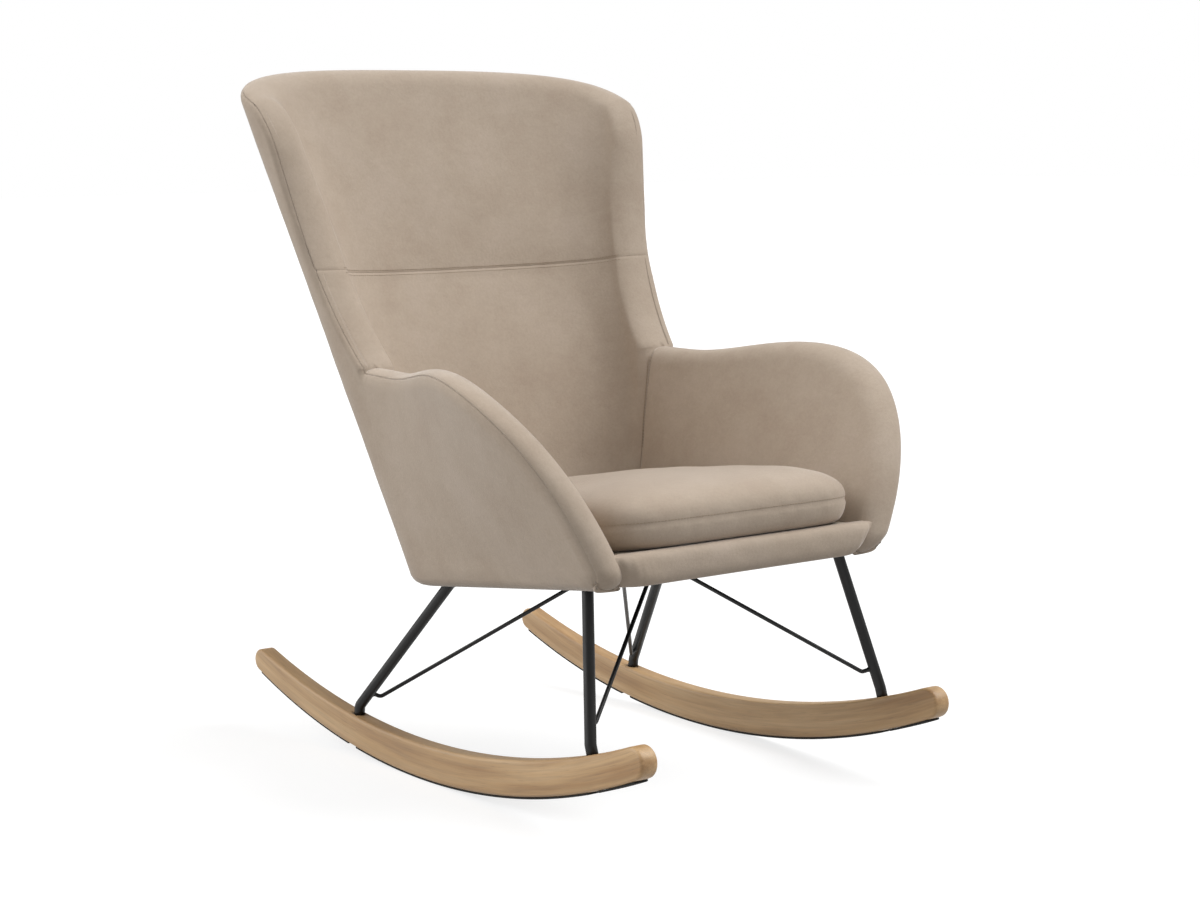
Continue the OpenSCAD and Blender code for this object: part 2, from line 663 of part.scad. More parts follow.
// The rail is a padded roll along the front edge, between the arms
rail_steps = 10;
rail_turns = 7;
module front_rail() {
    height = deck_top - board_recess / 2;
    bulge = rail_thickness / 3;
    corner = rail_thickness * 0.6;
    // Cross-section in the frame of the seat: reach behind the front edge, and height
    section = concat(
        [[rail_thickness - soft_gap, 0], [rail_thickness - soft_gap, height]],
        [for (k = [0:rail_turns]) let (a = 90 * k / rail_turns)
            [corner * (1 - sin(a)), height - corner * (1 - cos(a))]],
        [[-bulge / 2, height * 0.6], [-bulge / 2, height * 0.4]],
        [for (k = [0:rail_turns]) let (a = 90 * k / rail_turns)
            [corner * (1 - cos(a)), corner * (1 - sin(a))]]);
    grid = [for (s = section) [for (i = [0:rail_steps])
        let (y = s[0] - seat_front, z = low_z(y) + s[1],
            end = skin(y, z, -half_wall - soft_gap)[0], x = mix(-end, end, i / rail_steps))
        [x, y, z]]];
    m = len(section);
    n = rail_steps + 1;
    color([0.66, 0.6, 0.52]) stand() polyhedron(
        [for (row = grid) each row],
        concat(
            [for (k = [0:m - 1], i = [0:rail_steps - 1])
                let (a = k * n + i, b = ((k + 1) % m) * n + i) [a, a + 1, b + 1, b]],
            [[for (k = [0:m - 1]) k * n]],
            [[for (k = [m - 1:-1:0]) k * n + rail_steps]]));
}

// The loose cushion: flat foot, full waist where its seam runs, drawn-in sides and a crown
cushion_turns = 44;
// Shares of the cushion's reach and of its height, from the foot to the crown
cushion_profile_share = [
    [0.5, 0], [0.92, 0], [0.972, 0.06], [0.995, 0.16], [1, 0.25], [0.993, 0.35],
    [0.965, 0.48], [0.91, 0.61], [0.82, 0.73], [0.69, 0.84], [0.5, 0.93], [0.26, 0.985]];
cushion_base = deck_top + seat_gap;
cushion_height = cushion_side + cushion_crown;
cushion_front = -seat_front + cushion_gap;
// Where the padding of the back begins, half way up the cushion's side
function cushion_back_y(y) =
    let (z = low_z(y) + cushion_base + cushion_side / 4) tub(90, z, -half_wall)[1];
cushion_rear = cushion_back_y(cushion_back_y(hip_y(shell_low) + bow_low)) - cushion_gap;
cushion_middle = (cushion_front + cushion_rear) / 2;
cushion_reach = (cushion_rear - cushion_front) / 2;
// Half-width of the room for the cushion between the padding, at a reach behind the contact
function room(y) =
    let (z = low_z(y) + cushion_base + cushion_side / 4, back = y - hip_y(z), b = bow(z) - half_wall)
    back <= 0 ? half_width(z) + flare(y, z) - half_wall
    : (half_width(z) - half_wall) * pow(max(0, 1 - pow(min(1, back / b), plan_power)), 1 / plan_power);
function cushion_edge(a) =
    let (cy = sign(cos(a)) * pow(abs(cos(a)), 2 / cushion_power),
        cx = sign(sin(a)) * pow(abs(sin(a)), 2 / cushion_power),
        y = cushion_middle + cushion_reach * cy,
        wide = room(cushion_middle) + (room(cushion_front) - room(cushion_middle)) * max(0, -cy)
            - cushion_gap - cushion_draw * (1 - cy * cy))
    [sign(cx) * min(abs(cx) * wide, max(room(y) - cushion_gap, 0)), y];
module seat_cushion() {
    rings = [for (s = cushion_profile_share) [for (k = [0:cushion_turns - 1])
        let (e = cushion_edge(360 * k / cushion_turns),
            y = mix(cushion_middle, e[1], s[0]))
        [s[0] * e[0], y, low_z(y) + cushion_base + s[1] * cushion_height]]];
    m = len(rings);
    n = cushion_turns;
    top = [0, cushion_middle, low_z(cushion_middle) + cushion_base + cushion_height];
    color([0.68, 0.62, 0.54]) stand() polyhedron(
        concat([for (ring = rings) each ring], [top]),
        concat(
            [[for (k = [n - 1:-1:0]) k]],
            [for (i = [0:m - 2], k = [0:n - 1])
                let (a = i * n + k, b = i * n + (k + 1) % n) [a, b, b + n, a + n]],
            [for (k = [0:n - 1]) [(m - 1) * n + k, (m - 1) * n + (k + 1) % n, m * n]]));
}

// Outline of an arm from its lower front corner, over the crest, to the notch under the wing
arm_corner_share = 0.07;
arm_turn_share = 0.66;
arm_start_angle = 12;
function arm_rim(share) =
    share < arm_corner_share
    ? let (a = 45 * (1 - share / arm_corner_share), y = arm_corner * (1 - cos(a)) - seat_front)
        [y, low_z(-seat_front) + arm_corner * (1 - sin(a))]
    : share < arm_turn_share
    ? let (a = mix(arm_start_angle, 90, (share - arm_corner_share) / (arm_turn_share - arm_corner_share)))
        [arm_outline_mid - (seat_front + arm_outline_mid) * pow(cos(a), 2 / arm_power),
            arm_outline_low + (arm_height - arm_outline_low) * pow(sin(a), 2 / arm_power)]
    : let (t = (share - arm_turn_share) / (1 - arm_turn_share),
            y = mix(arm_outline_mid, split_y(notch_height), t))
        [y, notch_height + notch_drop * (0.5 + 0.5 * cos(180 * min(1, 1.3 * t)))];
rim_steps = 48;
rim_points = concat(
    [[arm_corner - seat_front, low_z(arm_corner - seat_front)]],
    [for (i = [0:rim_steps]) arm_rim(i / rim_steps)]);
function near_line(p, a, b) =
    let (ab = b - a, t = clamp(((p - a) * ab) / (ab * ab))) norm(p - a - t * ab);
function arm_rim_distance(p) =
    min([for (i = [0:len(rim_points) - 2]) near_line(p, rim_points[i], rim_points[i + 1])]);

// Grid of places over an arm, seen from the side: reach, height, and distances from the rim
// and from the lower edge, which is level with the seat at an offset from the wall's middle
arm_column_share = [0, 0.035, 0.075, 0.125, 0.18, 0.235, 0.29, 0.345, 0.4, 0.455, 0.51, 0.57,
    0.63, 0.69, 0.75, 0.805, 0.855, 0.9, 0.94, 0.97, 1];
base_row_share = [0, 0.3, 0.6, 1];
arm_row_share = [0.17, 0.36, 0.55, 0.76];
rim_row_share = [1.9, 1.35, 0.8, 0.4, 0.12, 0];
function arm_grid(base, out, front_y) =
    [for (i = [0:len(base_row_share) + len(arm_row_share) + len(rim_row_share) - 1])
        [for (s = arm_column_share)
            let (foot_y = mix(front_y, split_y(shell_low + base) - soft_gap, s * s),
                foot = [foot_y, low_z(skin(foot_y, low_z(foot_y) + base, out)[1]) + base],
                end = arm_rim(s),
                head = [end[0] - soft_gap * s, end[1]],
                length = norm(head - foot),
                crest = 1 - min(rim_row_share[0] * rim_round, 0.5 * length) / length,
                low = min(base_round, 0.3 * length) / length,
                k = i - len(base_row_share),
                t = k < 0 ? base_row_share[i] * low
                    : k < len(arm_row_share) ? mix(low, crest, arm_row_share[k])
                    : 1 - (1 - crest) * rim_row_share[k - len(arm_row_share)] / rim_row_share[0],
                p = mix(foot, head, t))
            [p[0], p[1], arm_rim_distance(p), t * length]]];
// Offsets of the outer cover's faces, thinner towards the rim and towards the lower edge, where
// nothing lies inside it and it stays hollow right to its end
function cover_outside(d, height) =
    max(2 * meet + hollow_half(d), min(rim_half(d), mix(hollow + lip, half_wall,
        height >= base_round ? 1 : pow(1 - pow(1 - height / base_round, 2), 0.5))));
function cover_inside(d, height) =
    height > base_round ? hollow_half(d)
    : max(meet, min(hollow, cover_outside(d, height) - lip));
module arm_layer(grid, inner) {
    between(
        [for (row = grid) [for (g = row)
            skin(g[0], g[1], inner ? -rim_half(g[2]) : cover_inside(g[2], g[3]))]],
        [for (row = grid) [for (g = row)
            skin(g[0], g[1], inner ? -hollow_half(g[2]) : cover_outside(g[2], g[3]))]]);
}
module arm_pad() {
    arm_layer(arm_grid(rise(board_top) + seat_gap, -half_wall, board_front - soft_gap), true);
}
module arm_cover() { arm_layer(arm_grid(0, 0, arm_corner - seat_front), false); }
module arm_pad_left() { color([0.66, 0.6, 0.52]) stand() arm_pad(); }
module arm_pad_right() { color([0.66, 0.6, 0.52]) stand() right() arm_pad(); }
module arm_cover_left() { color([0.7, 0.65, 0.57]) stand() arm_cover(); }
module arm_cover_right() { color([0.7, 0.65, 0.57]) stand() right() arm_cover(); }

// Place on the back: side runs from -1 at the right split through 0 to 1 at the left one
function back_point(side, z, out) =
    let (p = tub(mix(turn_at(split_y(z), z), 90, 1 - abs(side)), z, out))
    [side < 0 ? -p[0] : p[0], p[1], p[2]];
function edge_distance(side) = (1 - abs(side)) * half_girth;
// Height of the top edge: crowned, with a round corner over each wing
function crown_z(side) = shell_top - top_crown * pow(abs(side), crown_power);
function top_z(side) =
    let (d = edge_distance(side), crown = crown_z(side))
    d < wing_corner
    ? crown - wing_corner * (1 - sqrt(1 - pow(1 - d / wing_corner, 2)))
    : crown;
function back_rim_distance(side, z) =
    let (d = edge_distance(side),
        up = (crown_z(side) - z) / cos(recline),
        sideways = z < notch_height ? norm([d, notch_height - z]) : d)
    d < wing_corner && up < wing_corner
    ? wing_corner - norm([wing_corner - d, wing_corner - up])
    : min(sideways, up);
function seam_z(side) = seam_height - seam_drop * (1 - pow(abs(side), 2));
back_column_share = [1, 0.992, 0.975, 0.945, 0.905, 0.865, 0.825, 0.785, 0.745, 0.705, 0.665, 0.62,
    0.57, 0.51, 0.43, 0.33, 0.22, 0.11, 0];
back_columns = concat(
    back_column_share, [for (i = [len(back_column_share) - 2:-1:0]) -back_column_share[i]]);
top_row_share = [1.9, 1.35, 0.8, 0.4, 0.12, 0];
// Rows from a lower line to an upper one: a few over the rounded lower edge where there is one,
// and a few that close in on the rim where there is one
function back_grid(low, high, steps, to_rim) =
    let (first = len(base_row_share) - 1)
    [for (i = [0:first + steps + (to_rim ? len(top_row_share) - 1 : 0)])
        [for (side = back_columns)
            let (s = side * (1 - seat_gap / half_girth),
                bottom = low(s),
                start = bottom + base_round,
                top = high(s),
                reach = top - (to_rim ? top_row_share[0] * rim_round : 0),
                z = i < first ? mix(bottom, start, base_row_share[i])
                    : i - first < steps ? mix(start, reach, (i - first) / steps)
                    : to_rim ? top - top_row_share[i - first - steps] * rim_round
                    : top)
            [s, z, back_rim_distance(s, z), z - bottom]]];
function back_low(base, out) = function (side)
    let (z = shell_low + base,
        p = back_point(side, z, out),
        q = back_point(side, low_z(p[1]) + base, out))
    low_z(q[1]) + base;
module back_layer(grid, inner) {
    between(
        [for (row = grid) [for (g = row)
            back_point(g[0], g[1], inner ? -rim_half(g[2]) : cover_inside(g[2], g[3]))]],
        [for (row = grid) [for (g = row)
            back_point(g[0], g[1], inner ? -hollow_half(g[2]) : cover_outside(g[2], g[3]))]]);
}
module inner_back_lower() {
    color([0.64, 0.57, 0.49]) stand() back_layer(back_grid(
        back_low(rise(board_top) + seat_gap, -half_wall),
        function (side) seam_z(side) - seat_gap / 2, 8, false), true);
}
module inner_back_upper() {
    color([0.68, 0.61, 0.53]) stand() back_layer(back_grid(
        function (side) seam_z(side) + seat_gap / 2, function (side) top_z(side), 5, true), true);
}
module outer_back_cover() {
    color([0.7, 0.65, 0.57]) stand() back_layer(back_grid(back_low(0, 0),
        function (side) top_z(side), 11, true), false);
}

// The frame inside the shell: a hoop round the back, one in each arm, and straps across the back
hoop_side = 1 - hoop_inset / half_girth;
// Share of half the hoop that rises along the wing; the rest turns the corner
hoop_rise_share = 0.7;
hoop_steps = 32;
hoop_across_steps = 16;
// The hoop follows the crown of the top edge
function hoop_top(side) = crown_z(side) - hoop_inset / cos(recline);
// Lift that keeps the square end of a hoop off the sloping board
hoop_lift = seat_gap + hoop_tube / 2 * tan(recline + seat_tilt);
hoop_foot = low_z(back_point(hoop_side, shell_low + board_top, 0)[1]) + board_top + hoop_lift;
function hoop_place(t) =
    let (turn = 90 * max(0, t - hoop_rise_share) / (1 - hoop_rise_share),
        side = hoop_side - (1 - cos(turn)) * wing_corner / half_girth)
    [side, mix(hoop_foot, hoop_top(side) - wing_corner, min(1, t / hoop_rise_share))
        + wing_corner * sin(turn)];
module back_hoop() {
    half = [for (i = [0:hoop_steps])
        let (p = hoop_place(i / hoop_steps)) back_point(p[0], p[1], 0)];
    corner = hoop_place(1)[0];
    across = [for (i = [1:hoop_across_steps - 1])
        let (side = mix(corner, -corner, i / hoop_across_steps)) back_point(side, hoop_top(side), 0)];
    other = [for (i = [hoop_steps:-1:0]) [-half[i][0], half[i][1], half[i][2]]];
    color([0.2, 0.2, 0.2]) stand()
        sweep(concat(half, across, other), hoop_tube / 2, hoop_sides);
}
// Where the arm's hoop leaves the front edge's line and where it ends, as shares of the outline
arm_hoop_from_share = 0.1;
arm_hoop_to_share = 0.86;
arm_hoop_steps = 16;
probe_share = 0.01;
function inset(share, d) =
    let (a = arm_rim(share), b = arm_rim(share + probe_share), t = (b - a) / norm(b - a))
    a + d * [t[1], -t[0]];
module arm_hoop() {
    start = inset(arm_hoop_from_share, hoop_inset);
    foot = [start[0], low_z(start[0]) + board_top + hoop_lift];
    path = concat([foot], [for (i = [0:arm_hoop_steps])
        inset(mix(arm_hoop_from_share, arm_hoop_to_share, i / arm_hoop_steps), hoop_inset)]);
    sweep([for (p = path) skin(p[0], p[1], 0)], hoop_tube / 2, hoop_sides, [1, 0, 0]);
}
module arm_hoop_left() { color([0.2, 0.2, 0.2]) stand() arm_hoop(); }
module arm_hoop_right() { color([0.2, 0.2, 0.2]) stand() right() arm_hoop(); }
// Length over which the hoop's slopes are measured
probe = 1;
// Where a piece that reaches out to the leaning hoop ends, as a share of the girth, for the
// piece's height and half its depth
function hoop_reach(z, half_depth) =
    let (middle = back_point(hoop_side, z, 0),
        pace = norm(middle - back_point(hoop_side - probe / half_girth, z, 0)) / probe * half_girth,
        up = back_point(hoop_side, z + probe, 0) - middle,
        lean = norm([up[0], up[1]]) / up[2])
    hoop_side - ((hoop_tube / 2 + soft_gap) * norm([1, lean]) + half_depth * lean) / pace;
// Two bars join the sides of the back hoop, low at the hips and under the cross seam
bar_steps = 18;
bar_heights = [shell_low + 2 * hoop_inset + board_top, seam_height - seam_drop - hoop_inset];
module back_bars() {
    color([0.2, 0.2, 0.2]) stand() for (z = bar_heights)
        sweep([for (i = [-bar_steps:bar_steps]) 
            back_point(hoop_reach(z, hoop_tube / 2) * i / bar_steps, z, 0)],
            hoop_tube / 2, hoop_sides);
}
// Half of the straps lie below the upper bar and half above it, and none crosses a bar
strap_steps = 8;
strap_rows = 2;
strap_bands = [
    [bar_heights[0] + hoop_tube, bar_heights[1] - hoop_tube - strap_width],
    [bar_heights[1] + hoop_tube, hoop_top(hoop_side) - wing_corner - strap_width]];
module strap(low) {
    heights = [for (i = [0:strap_rows]) low + strap_width * i / strap_rows];
    between(
        [for (z = heights) [for (i = [strap_steps:-1:-strap_steps])
            back_point(hoop_reach(z, strap_thickness) * i / strap_steps, z, -strap_thickness / 2)]],
        [for (z = heights) [for (i = [strap_steps:-1:-strap_steps])
            back_point(hoop_reach(z, strap_thickness) * i / strap_steps, z, strap_thickness / 2)]]);
}
module back_straps() {
    each_band = max(1, strap_count / 2 - 1);
    color([0.15, 0.15, 0.15]) stand() for (band = strap_bands, k = [0:strap_count / 2 - 1])
        strap(mix(band[0], band[1], k / each_band));
}

rocker_left();
rocker_right();
strip_front_left();
strip_middle_left();
strip_rear_left();
strip_front_right();
strip_middle_right();
strip_rear_right();
leg_front_left();
leg_front_right();
leg_rear_left();
leg_rear_right();
brace_front_left();
brace_front_right();
brace_rear_left();
brace_rear_right();
leg_plate_front_left();
leg_plate_front_right();
leg_plate_rear_left();
leg_plate_rear_right();
brace_plate_front();
brace_plate_rear();
foot_bolts();
foot_plugs();
leg_bolts();
tee_nuts();
brace_screws();
dust_cover();
seat_board();
seat_deck();
front_rail();
seat_cushion();
back_hoop();
back_bars();
arm_hoop_left();
arm_hoop_right();
back_straps();
arm_pad_left();
arm_pad_right();
arm_cover_left();
arm_cover_right();
inner_back_lower();
inner_back_upper();
outer_back_cover();
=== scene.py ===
# %% [markdown]
# # An upholstered rocking chair
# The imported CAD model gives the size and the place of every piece. This script builds what the
# eye sees over it: velvet panels that roll round the shell's rim, a loose cushion, wooden rockers,
# black steel legs. Lengths in the maker's functions are millimetres in an upright frame whose
# origin lies where the rockers touch the floor; `stand` turns them into the shared frame.

import math

import bmesh
import bpy
import numpy as np
from mathutils import Matrix, Vector
from mathutils.kdtree import KDTree


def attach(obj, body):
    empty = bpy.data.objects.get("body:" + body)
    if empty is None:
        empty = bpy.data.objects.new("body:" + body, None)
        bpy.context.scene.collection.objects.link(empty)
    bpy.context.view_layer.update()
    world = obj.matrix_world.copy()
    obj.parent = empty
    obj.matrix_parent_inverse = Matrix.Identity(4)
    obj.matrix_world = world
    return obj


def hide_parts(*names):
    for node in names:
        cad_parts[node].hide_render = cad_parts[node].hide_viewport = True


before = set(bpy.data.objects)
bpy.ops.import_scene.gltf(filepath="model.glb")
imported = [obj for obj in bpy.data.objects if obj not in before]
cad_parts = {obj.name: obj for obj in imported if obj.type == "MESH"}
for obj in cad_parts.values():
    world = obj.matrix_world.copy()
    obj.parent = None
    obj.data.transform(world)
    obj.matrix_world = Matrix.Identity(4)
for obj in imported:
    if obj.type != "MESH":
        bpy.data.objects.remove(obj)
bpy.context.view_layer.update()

# %% [markdown]
# ## The shared frame
# The whole chair rolls back a little on its rockers until it balances, and stands centred on the
# origin. Every point passes through `stand` once, so no object is ever moved or turned.

# %% Sizes that the pieces share
MM = 0.001
LEAN = math.radians(1.15)      # how far the chair has rolled back at rest
ROLL = 1375.0                  # radius on which the rockers roll
SHIFT = 28.644                 # how far the contact lies behind the middle
LOW, ARM, TOP = 273.0, 609.0, 1015.0    # lower edge, arms and top of the shell
TILT = math.radians(8.3)       # the seat falls towards the back
RECLINE = math.radians(22.6)
FRONT = 446.0                  # front edge of the seat, ahead of the contact
HALF = 28.0                    # half the wall of the shell
ROUND = 26.0                   # depth of the rolled rim
ROLL_SHAPE = 2.2               # how square the roll is; 2 is a circle
ROLL_POWER = 0.909             # 2 / ROLL_SHAPE
NOTCH, NOTCH_Y = 585.0, 80.0   # height and reach of the notch between arm and wing
CORNER = 62.0                  # round corner at the top of a wing
GIRTH = 389.0                  # from a wing's edge to the middle of the back
BOARD_TOP, DECK_TOP = 23.0, 47.0    # seat board and deck, above the shell's lower edge
RAIL = 22.0                    # depth of the front rail


def stand(points):
    """Millimetres in the upright frame become metres in the shared frame."""
    p = np.asarray(points, float).reshape(-1, 3)
    y, z = p[:, 1], p[:, 2] - ROLL
    return np.stack([p[:, 0], SHIFT + y * math.cos(LEAN) - z * math.sin(LEAN),
                     ROLL + y * math.sin(LEAN) + z * math.cos(LEAN)], 1) * MM


print("a point on the floor under the seat stands at", stand([[0, 0, 0]]).round(4).tolist())

# %% [markdown]
# ## The shell as two maps
# The arms are drawn in side view, so `skin` takes a reach and a height. The back is drawn along its
# girth, so `back` takes a side from -1 to 1 and a height. Both give the middle of the wall plus an
# offset: negative towards the sitter, positive outwards. The shell could be sculpted, but then its
# padding, cover and seams would each need a shape of their own. With maps, every layer asks for the
# same wall at its own depth.

# %% Maps of the shell


def mix(a, b, t):
    """From a to b as t goes from 0 to 1."""
    return a + (b - a) * t


def smooth(t):
    """An even start and an even end between 0 and 1."""
    t = np.clip(t, 0, 1)
    return t * t * (3 - 2 * t)


def through(z, low, mid, high):
    """A smooth run of a size given at the shell's lower edge, the arms and the top."""
    return (low * (z - ARM) * (z - TOP) / ((LOW - ARM) * (LOW - TOP))
            + mid * (z - LOW) * (z - TOP) / ((ARM - LOW) * (ARM - TOP))
            + high * (z - LOW) * (z - ARM) / ((TOP - LOW) * (TOP - ARM)))


def half_width(z):
    """Half the width of the tub at its hips."""
    return through(z, 426.0, 536.0, 674.0) / 2


def bow(z):
    """How deep the back is bowed, behind the hips."""
    return through(z, 115.0, 112.0, 104.0)


def hip_y(z):
    """Reach of the hips, where the sides turn into the back; it reclines."""
    return -12.0 + math.tan(RECLINE) * (z - LOW)


def low_z(y):
    """Height of the shell's lower edge, which falls towards the back like the seat."""
    return LOW - math.tan(TILT) * y


def flare(y, z):
    """How far the arms lean out, more towards their crest and their front."""
    return (87.0 * np.clip((z - 330.0) / (ARM - 330.0), 0, 1)
            * smooth((NOTCH_Y - y) / (NOTCH_Y + 350.0)))


WING_PITCH = 112.0 / 60        # millimetres of reach for one degree of turn, ahead of the hips
PLAN = 2.3                     # how square the tub is in plan


def tub(turn, z, out):
    """turn 0 is the hip, 90 the middle of the back; less than 0 is ahead of the hips."""
    turn, z, out = np.broadcast_arrays(np.asarray(turn, float), z, out)
    ahead = turn < 0
    y0 = hip_y(z) + turn * WING_PITCH
    a = np.radians(np.clip(turn, 0, 90))
    x1 = (half_width(z) + out) * np.maximum(np.cos(a), 0) ** (2 / PLAN)
    y1 = hip_y(z) + (bow(z) + out) * np.sin(a) ** (2 / PLAN)
    x0 = half_width(z) + out + flare(y0, z)
    return np.stack([np.where(ahead, x0, x1), np.where(ahead, y0, y1), z], -1)


def turn_at(y, z):
    """The turn at which the side of the tub has a reach."""
    behind = np.asarray(y - hip_y(z), float)
    share = np.clip(behind / bow(z), 0, 1)
    return np.where(behind <= 0, behind / WING_PITCH, np.degrees(np.arcsin(share ** (PLAN / 2))))


def skin(y, z, out):
    """A place on an arm from its reach and height."""
    y, z = np.broadcast_arrays(np.asarray(y, float), np.asarray(z, float))
    return tub(turn_at(y, z), z, out)


def split_y(z):
    """Where the arms end and the back begins; above the notch, the wings' front edge."""
    t = np.clip((z - NOTCH) / (TOP - NOTCH), 0, None)
    low = mix(55.0, NOTCH_Y, (z - LOW) / (NOTCH - LOW))
    return np.where(z < NOTCH, low, mix(NOTCH_Y, 268.0, t) + 32.0 * 6.75 * t * (1 - t) ** 2)


def back(side, z, out):
    """A place on the back; side is 1 at the left wing's edge, 0 in the middle and -1 at the right."""
    side, z = np.broadcast_arrays(np.asarray(side, float), np.asarray(z, float))
    s = np.abs(side)
    p = tub(turn_at(split_y(z), z) * s + 90 * (1 - s), z, out)
    p[..., 0] = np.where(side < 0, -p[..., 0], p[..., 0])
    return p


def crown_z(side):
    """Height of the crown, which drops towards the wings."""
    return TOP - 66.0 * np.abs(side) ** 2.5

# %% [markdown]
# ## The rolled rim and the seams
# The shell is padded to an even wall and thins to nothing at its rim, in a roll like the quarter of
# a rounded square. A Bevel modifier could round the edge, but panels that meet at a seam have to
# share one roll. So the wall is a function of the distance from the rim, and every panel asks it.

# %% Rim and seams


def rim_half(d):
    """Half the thickness at a distance from the rim: a rolled edge."""
    t = 1 - np.clip(np.asarray(d, float) / ROUND, 0, 1)
    return HALF * (1 - t ** ROLL_SHAPE) ** (1 / ROLL_SHAPE)


def back_rim(side, z):
    """Distance of a place on the back from the rim."""
    edge = (1 - np.abs(side)) * GIRTH
    up = (crown_z(side) - z) / math.cos(RECLINE)
    sideways = np.where(z < NOTCH, np.hypot(edge, NOTCH - z), edge)
    corner = (edge < CORNER) & (up < CORNER)
    return np.where(corner, CORNER - np.hypot(CORNER - edge, CORNER - up), np.minimum(sideways, up))


def seam_z(side):
    """Height of the cross seam, which sags a little between the wings."""
    return 722.0 - 15.0 * (1 - np.abs(side) ** 2)


def back_low(side, base):
    """Height of a line round the back that runs level with the seat, found in a few rounds."""
    z = LOW + base
    for _ in range(3):
        z = low_z(back(side, z, 0.0)[..., 1]) + base
    return z


# Angles round the rolled rim, and where the seam lies on its outer side
ROLL_STEPS = np.radians(np.linspace(0, 90, 10))
ROLL_IN = ROUND * (1 - np.cos(ROLL_STEPS) ** ROLL_POWER)
SEAM_ANGLE = math.radians(46)
SEAM_IN = ROUND * (1 - math.cos(SEAM_ANGLE) ** ROLL_POWER)
WRAP_STEPS = np.radians([5, 11, 17, 23, 29, 35, 40, 44, 46])
WRAP_IN = ROUND * (1 - np.cos(WRAP_STEPS) ** ROLL_POWER)
WRAP_TUCK = np.array([0, 0, 0, 0, 0, 0, 0, 0.2, 0.9])
WRAP_OUT = HALF * np.sin(WRAP_STEPS) ** ROLL_POWER - WRAP_TUCK
print("the outer seam lies", round(SEAM_IN, 1), "mm in from the rim")

# %% [markdown]
# ## The outline of an arm
# One curve in side view runs from the lower front corner up the front edge, over the crest and
# down to the notch under the wing. It could be a Bezier curve, but the padding has to know how far
# every place lies from it, and plain arrays of points give that distance and the insets directly.

# %% Arm outline


CORNER_END, FRONT_END = 0.07, 0.66     # shares of the outline
SWELL_Y, SWELL_Z = -190.0, 340.0       # middle of the big curve of the front
LOW_CORNER = 30.0


def raw_rim(s):
    """The outline in three parts: the lower corner, the swelling front and the crest."""
    s = np.asarray(s, float)
    a = np.radians(80 * np.clip(1 - s / CORNER_END, 0, 1))
    reach = LOW_CORNER * (1 - np.cos(a)) - FRONT
    corner = np.stack([reach, low_z(reach) + LOW_CORNER * (1 - np.sin(a))], -1)
    a = np.radians(mix(12.0, 90.0, np.clip((s - CORNER_END) / (FRONT_END - CORNER_END), 0, 1)))
    front = np.stack([SWELL_Y - (FRONT + SWELL_Y) * np.cos(a).clip(0) ** (2 / 2.1),
                      SWELL_Z + (ARM - SWELL_Z) * np.sin(a) ** (2 / 2.1)], -1)
    t = np.clip((s - FRONT_END) / (1 - FRONT_END), 0, 1)
    crest = np.stack([mix(SWELL_Y, NOTCH_Y, t),
                      NOTCH + (ARM - NOTCH) * (0.5 + 0.5 * np.cos(np.pi * np.minimum(1, 1.3 * t)))], -1)
    return np.where((s < CORNER_END)[..., None], corner, np.where((s < FRONT_END)[..., None], front, crest))


# Evenly spaced and a little smoothed, so that no kink shows in the rolled edge
dense = raw_rim(np.linspace(0, 1, 1201))
for _ in range(60):
    dense[1:-1] = 0.25 * dense[:-2] + 0.5 * dense[1:-1] + 0.25 * dense[2:]
girth = np.concatenate([[0], np.cumsum(np.linalg.norm(np.diff(dense, axis=0), axis=1))])
RIM_LENGTH = girth[-1]


def rim(t):
    """Places on the outline at shares of its length."""
    return np.stack([np.interp(np.asarray(t) * RIM_LENGTH, girth, dense[:, i]) for i in (0, 1)], -1)


def inset(t, d):
    """A place at distance d inside the outline; at the notch it stays on the split line."""
    t = np.asarray(t, float)
    ahead = rim(np.clip(t + 0.004, 0, 1)) - rim(np.clip(t - 0.004, 0, 1))
    ahead /= np.linalg.norm(ahead, axis=-1, keepdims=True)
    p = rim(t) + np.asarray(d)[..., None] * np.stack([ahead[..., 1], -ahead[..., 0]], -1)
    shear = np.clip((t - 0.9) / 0.1, 0, 1)
    p[..., 0] += shear * (split_y(p[..., 1]) - NOTCH_Y) * (p[..., 1] < NOTCH)
    return p


RIM_LINE = rim(np.linspace(0, 1, 260))
FOREMOST = int(np.argmin(RIM_LINE[:, 0]))


def front_y(z):
    """How far forward an arm's outline reaches at a height near its lower corner."""
    return np.interp(z, RIM_LINE[:FOREMOST, 1], RIM_LINE[:FOREMOST, 0])


def arm_rim(y, z):
    """Distance of places in side view from the arm's outline."""
    p = np.stack([np.ravel(y), np.ravel(z)], -1)
    best = np.full(len(p), 1e9)
    for a, b in zip(RIM_LINE[:-1], RIM_LINE[1:]):
        ab = b - a
        t = np.clip(((p - a) @ ab) / (ab @ ab), 0, 1)
        best = np.minimum(best, np.linalg.norm(p - a - t[:, None] * ab, axis=1))
    return best.reshape(np.shape(y))


print("an arm's outline is", round(RIM_LENGTH), "mm long")

# %% [markdown]
# ## Making a piece
# Each piece is a grid or a set of rings of points. `make` places them, welds doubled points, turns
# the faces outwards, gives the cloth its thickness and hands the piece to the frame. Modelling by
# hand would need no such helpers, but here each step is done the same way for every piece. The
# order matters: the faces are turned before the wall gets its thickness, because on a closed
# shell it would turn the inner face round.

# %% Mesh tools


def grid_faces(rows, cols, start=0, closed=False):
    """Four-cornered faces between the points of a grid, or of rings if it is closed."""
    i, j = np.meshgrid(np.arange(rows - 1), np.arange(cols if closed else cols - 1), indexing="ij")
    a, b = start + i * cols + j, start + i * cols + (j + 1) % cols
    return np.stack([a, b, b + cols, a + cols], -1).reshape(-1, 4).tolist()


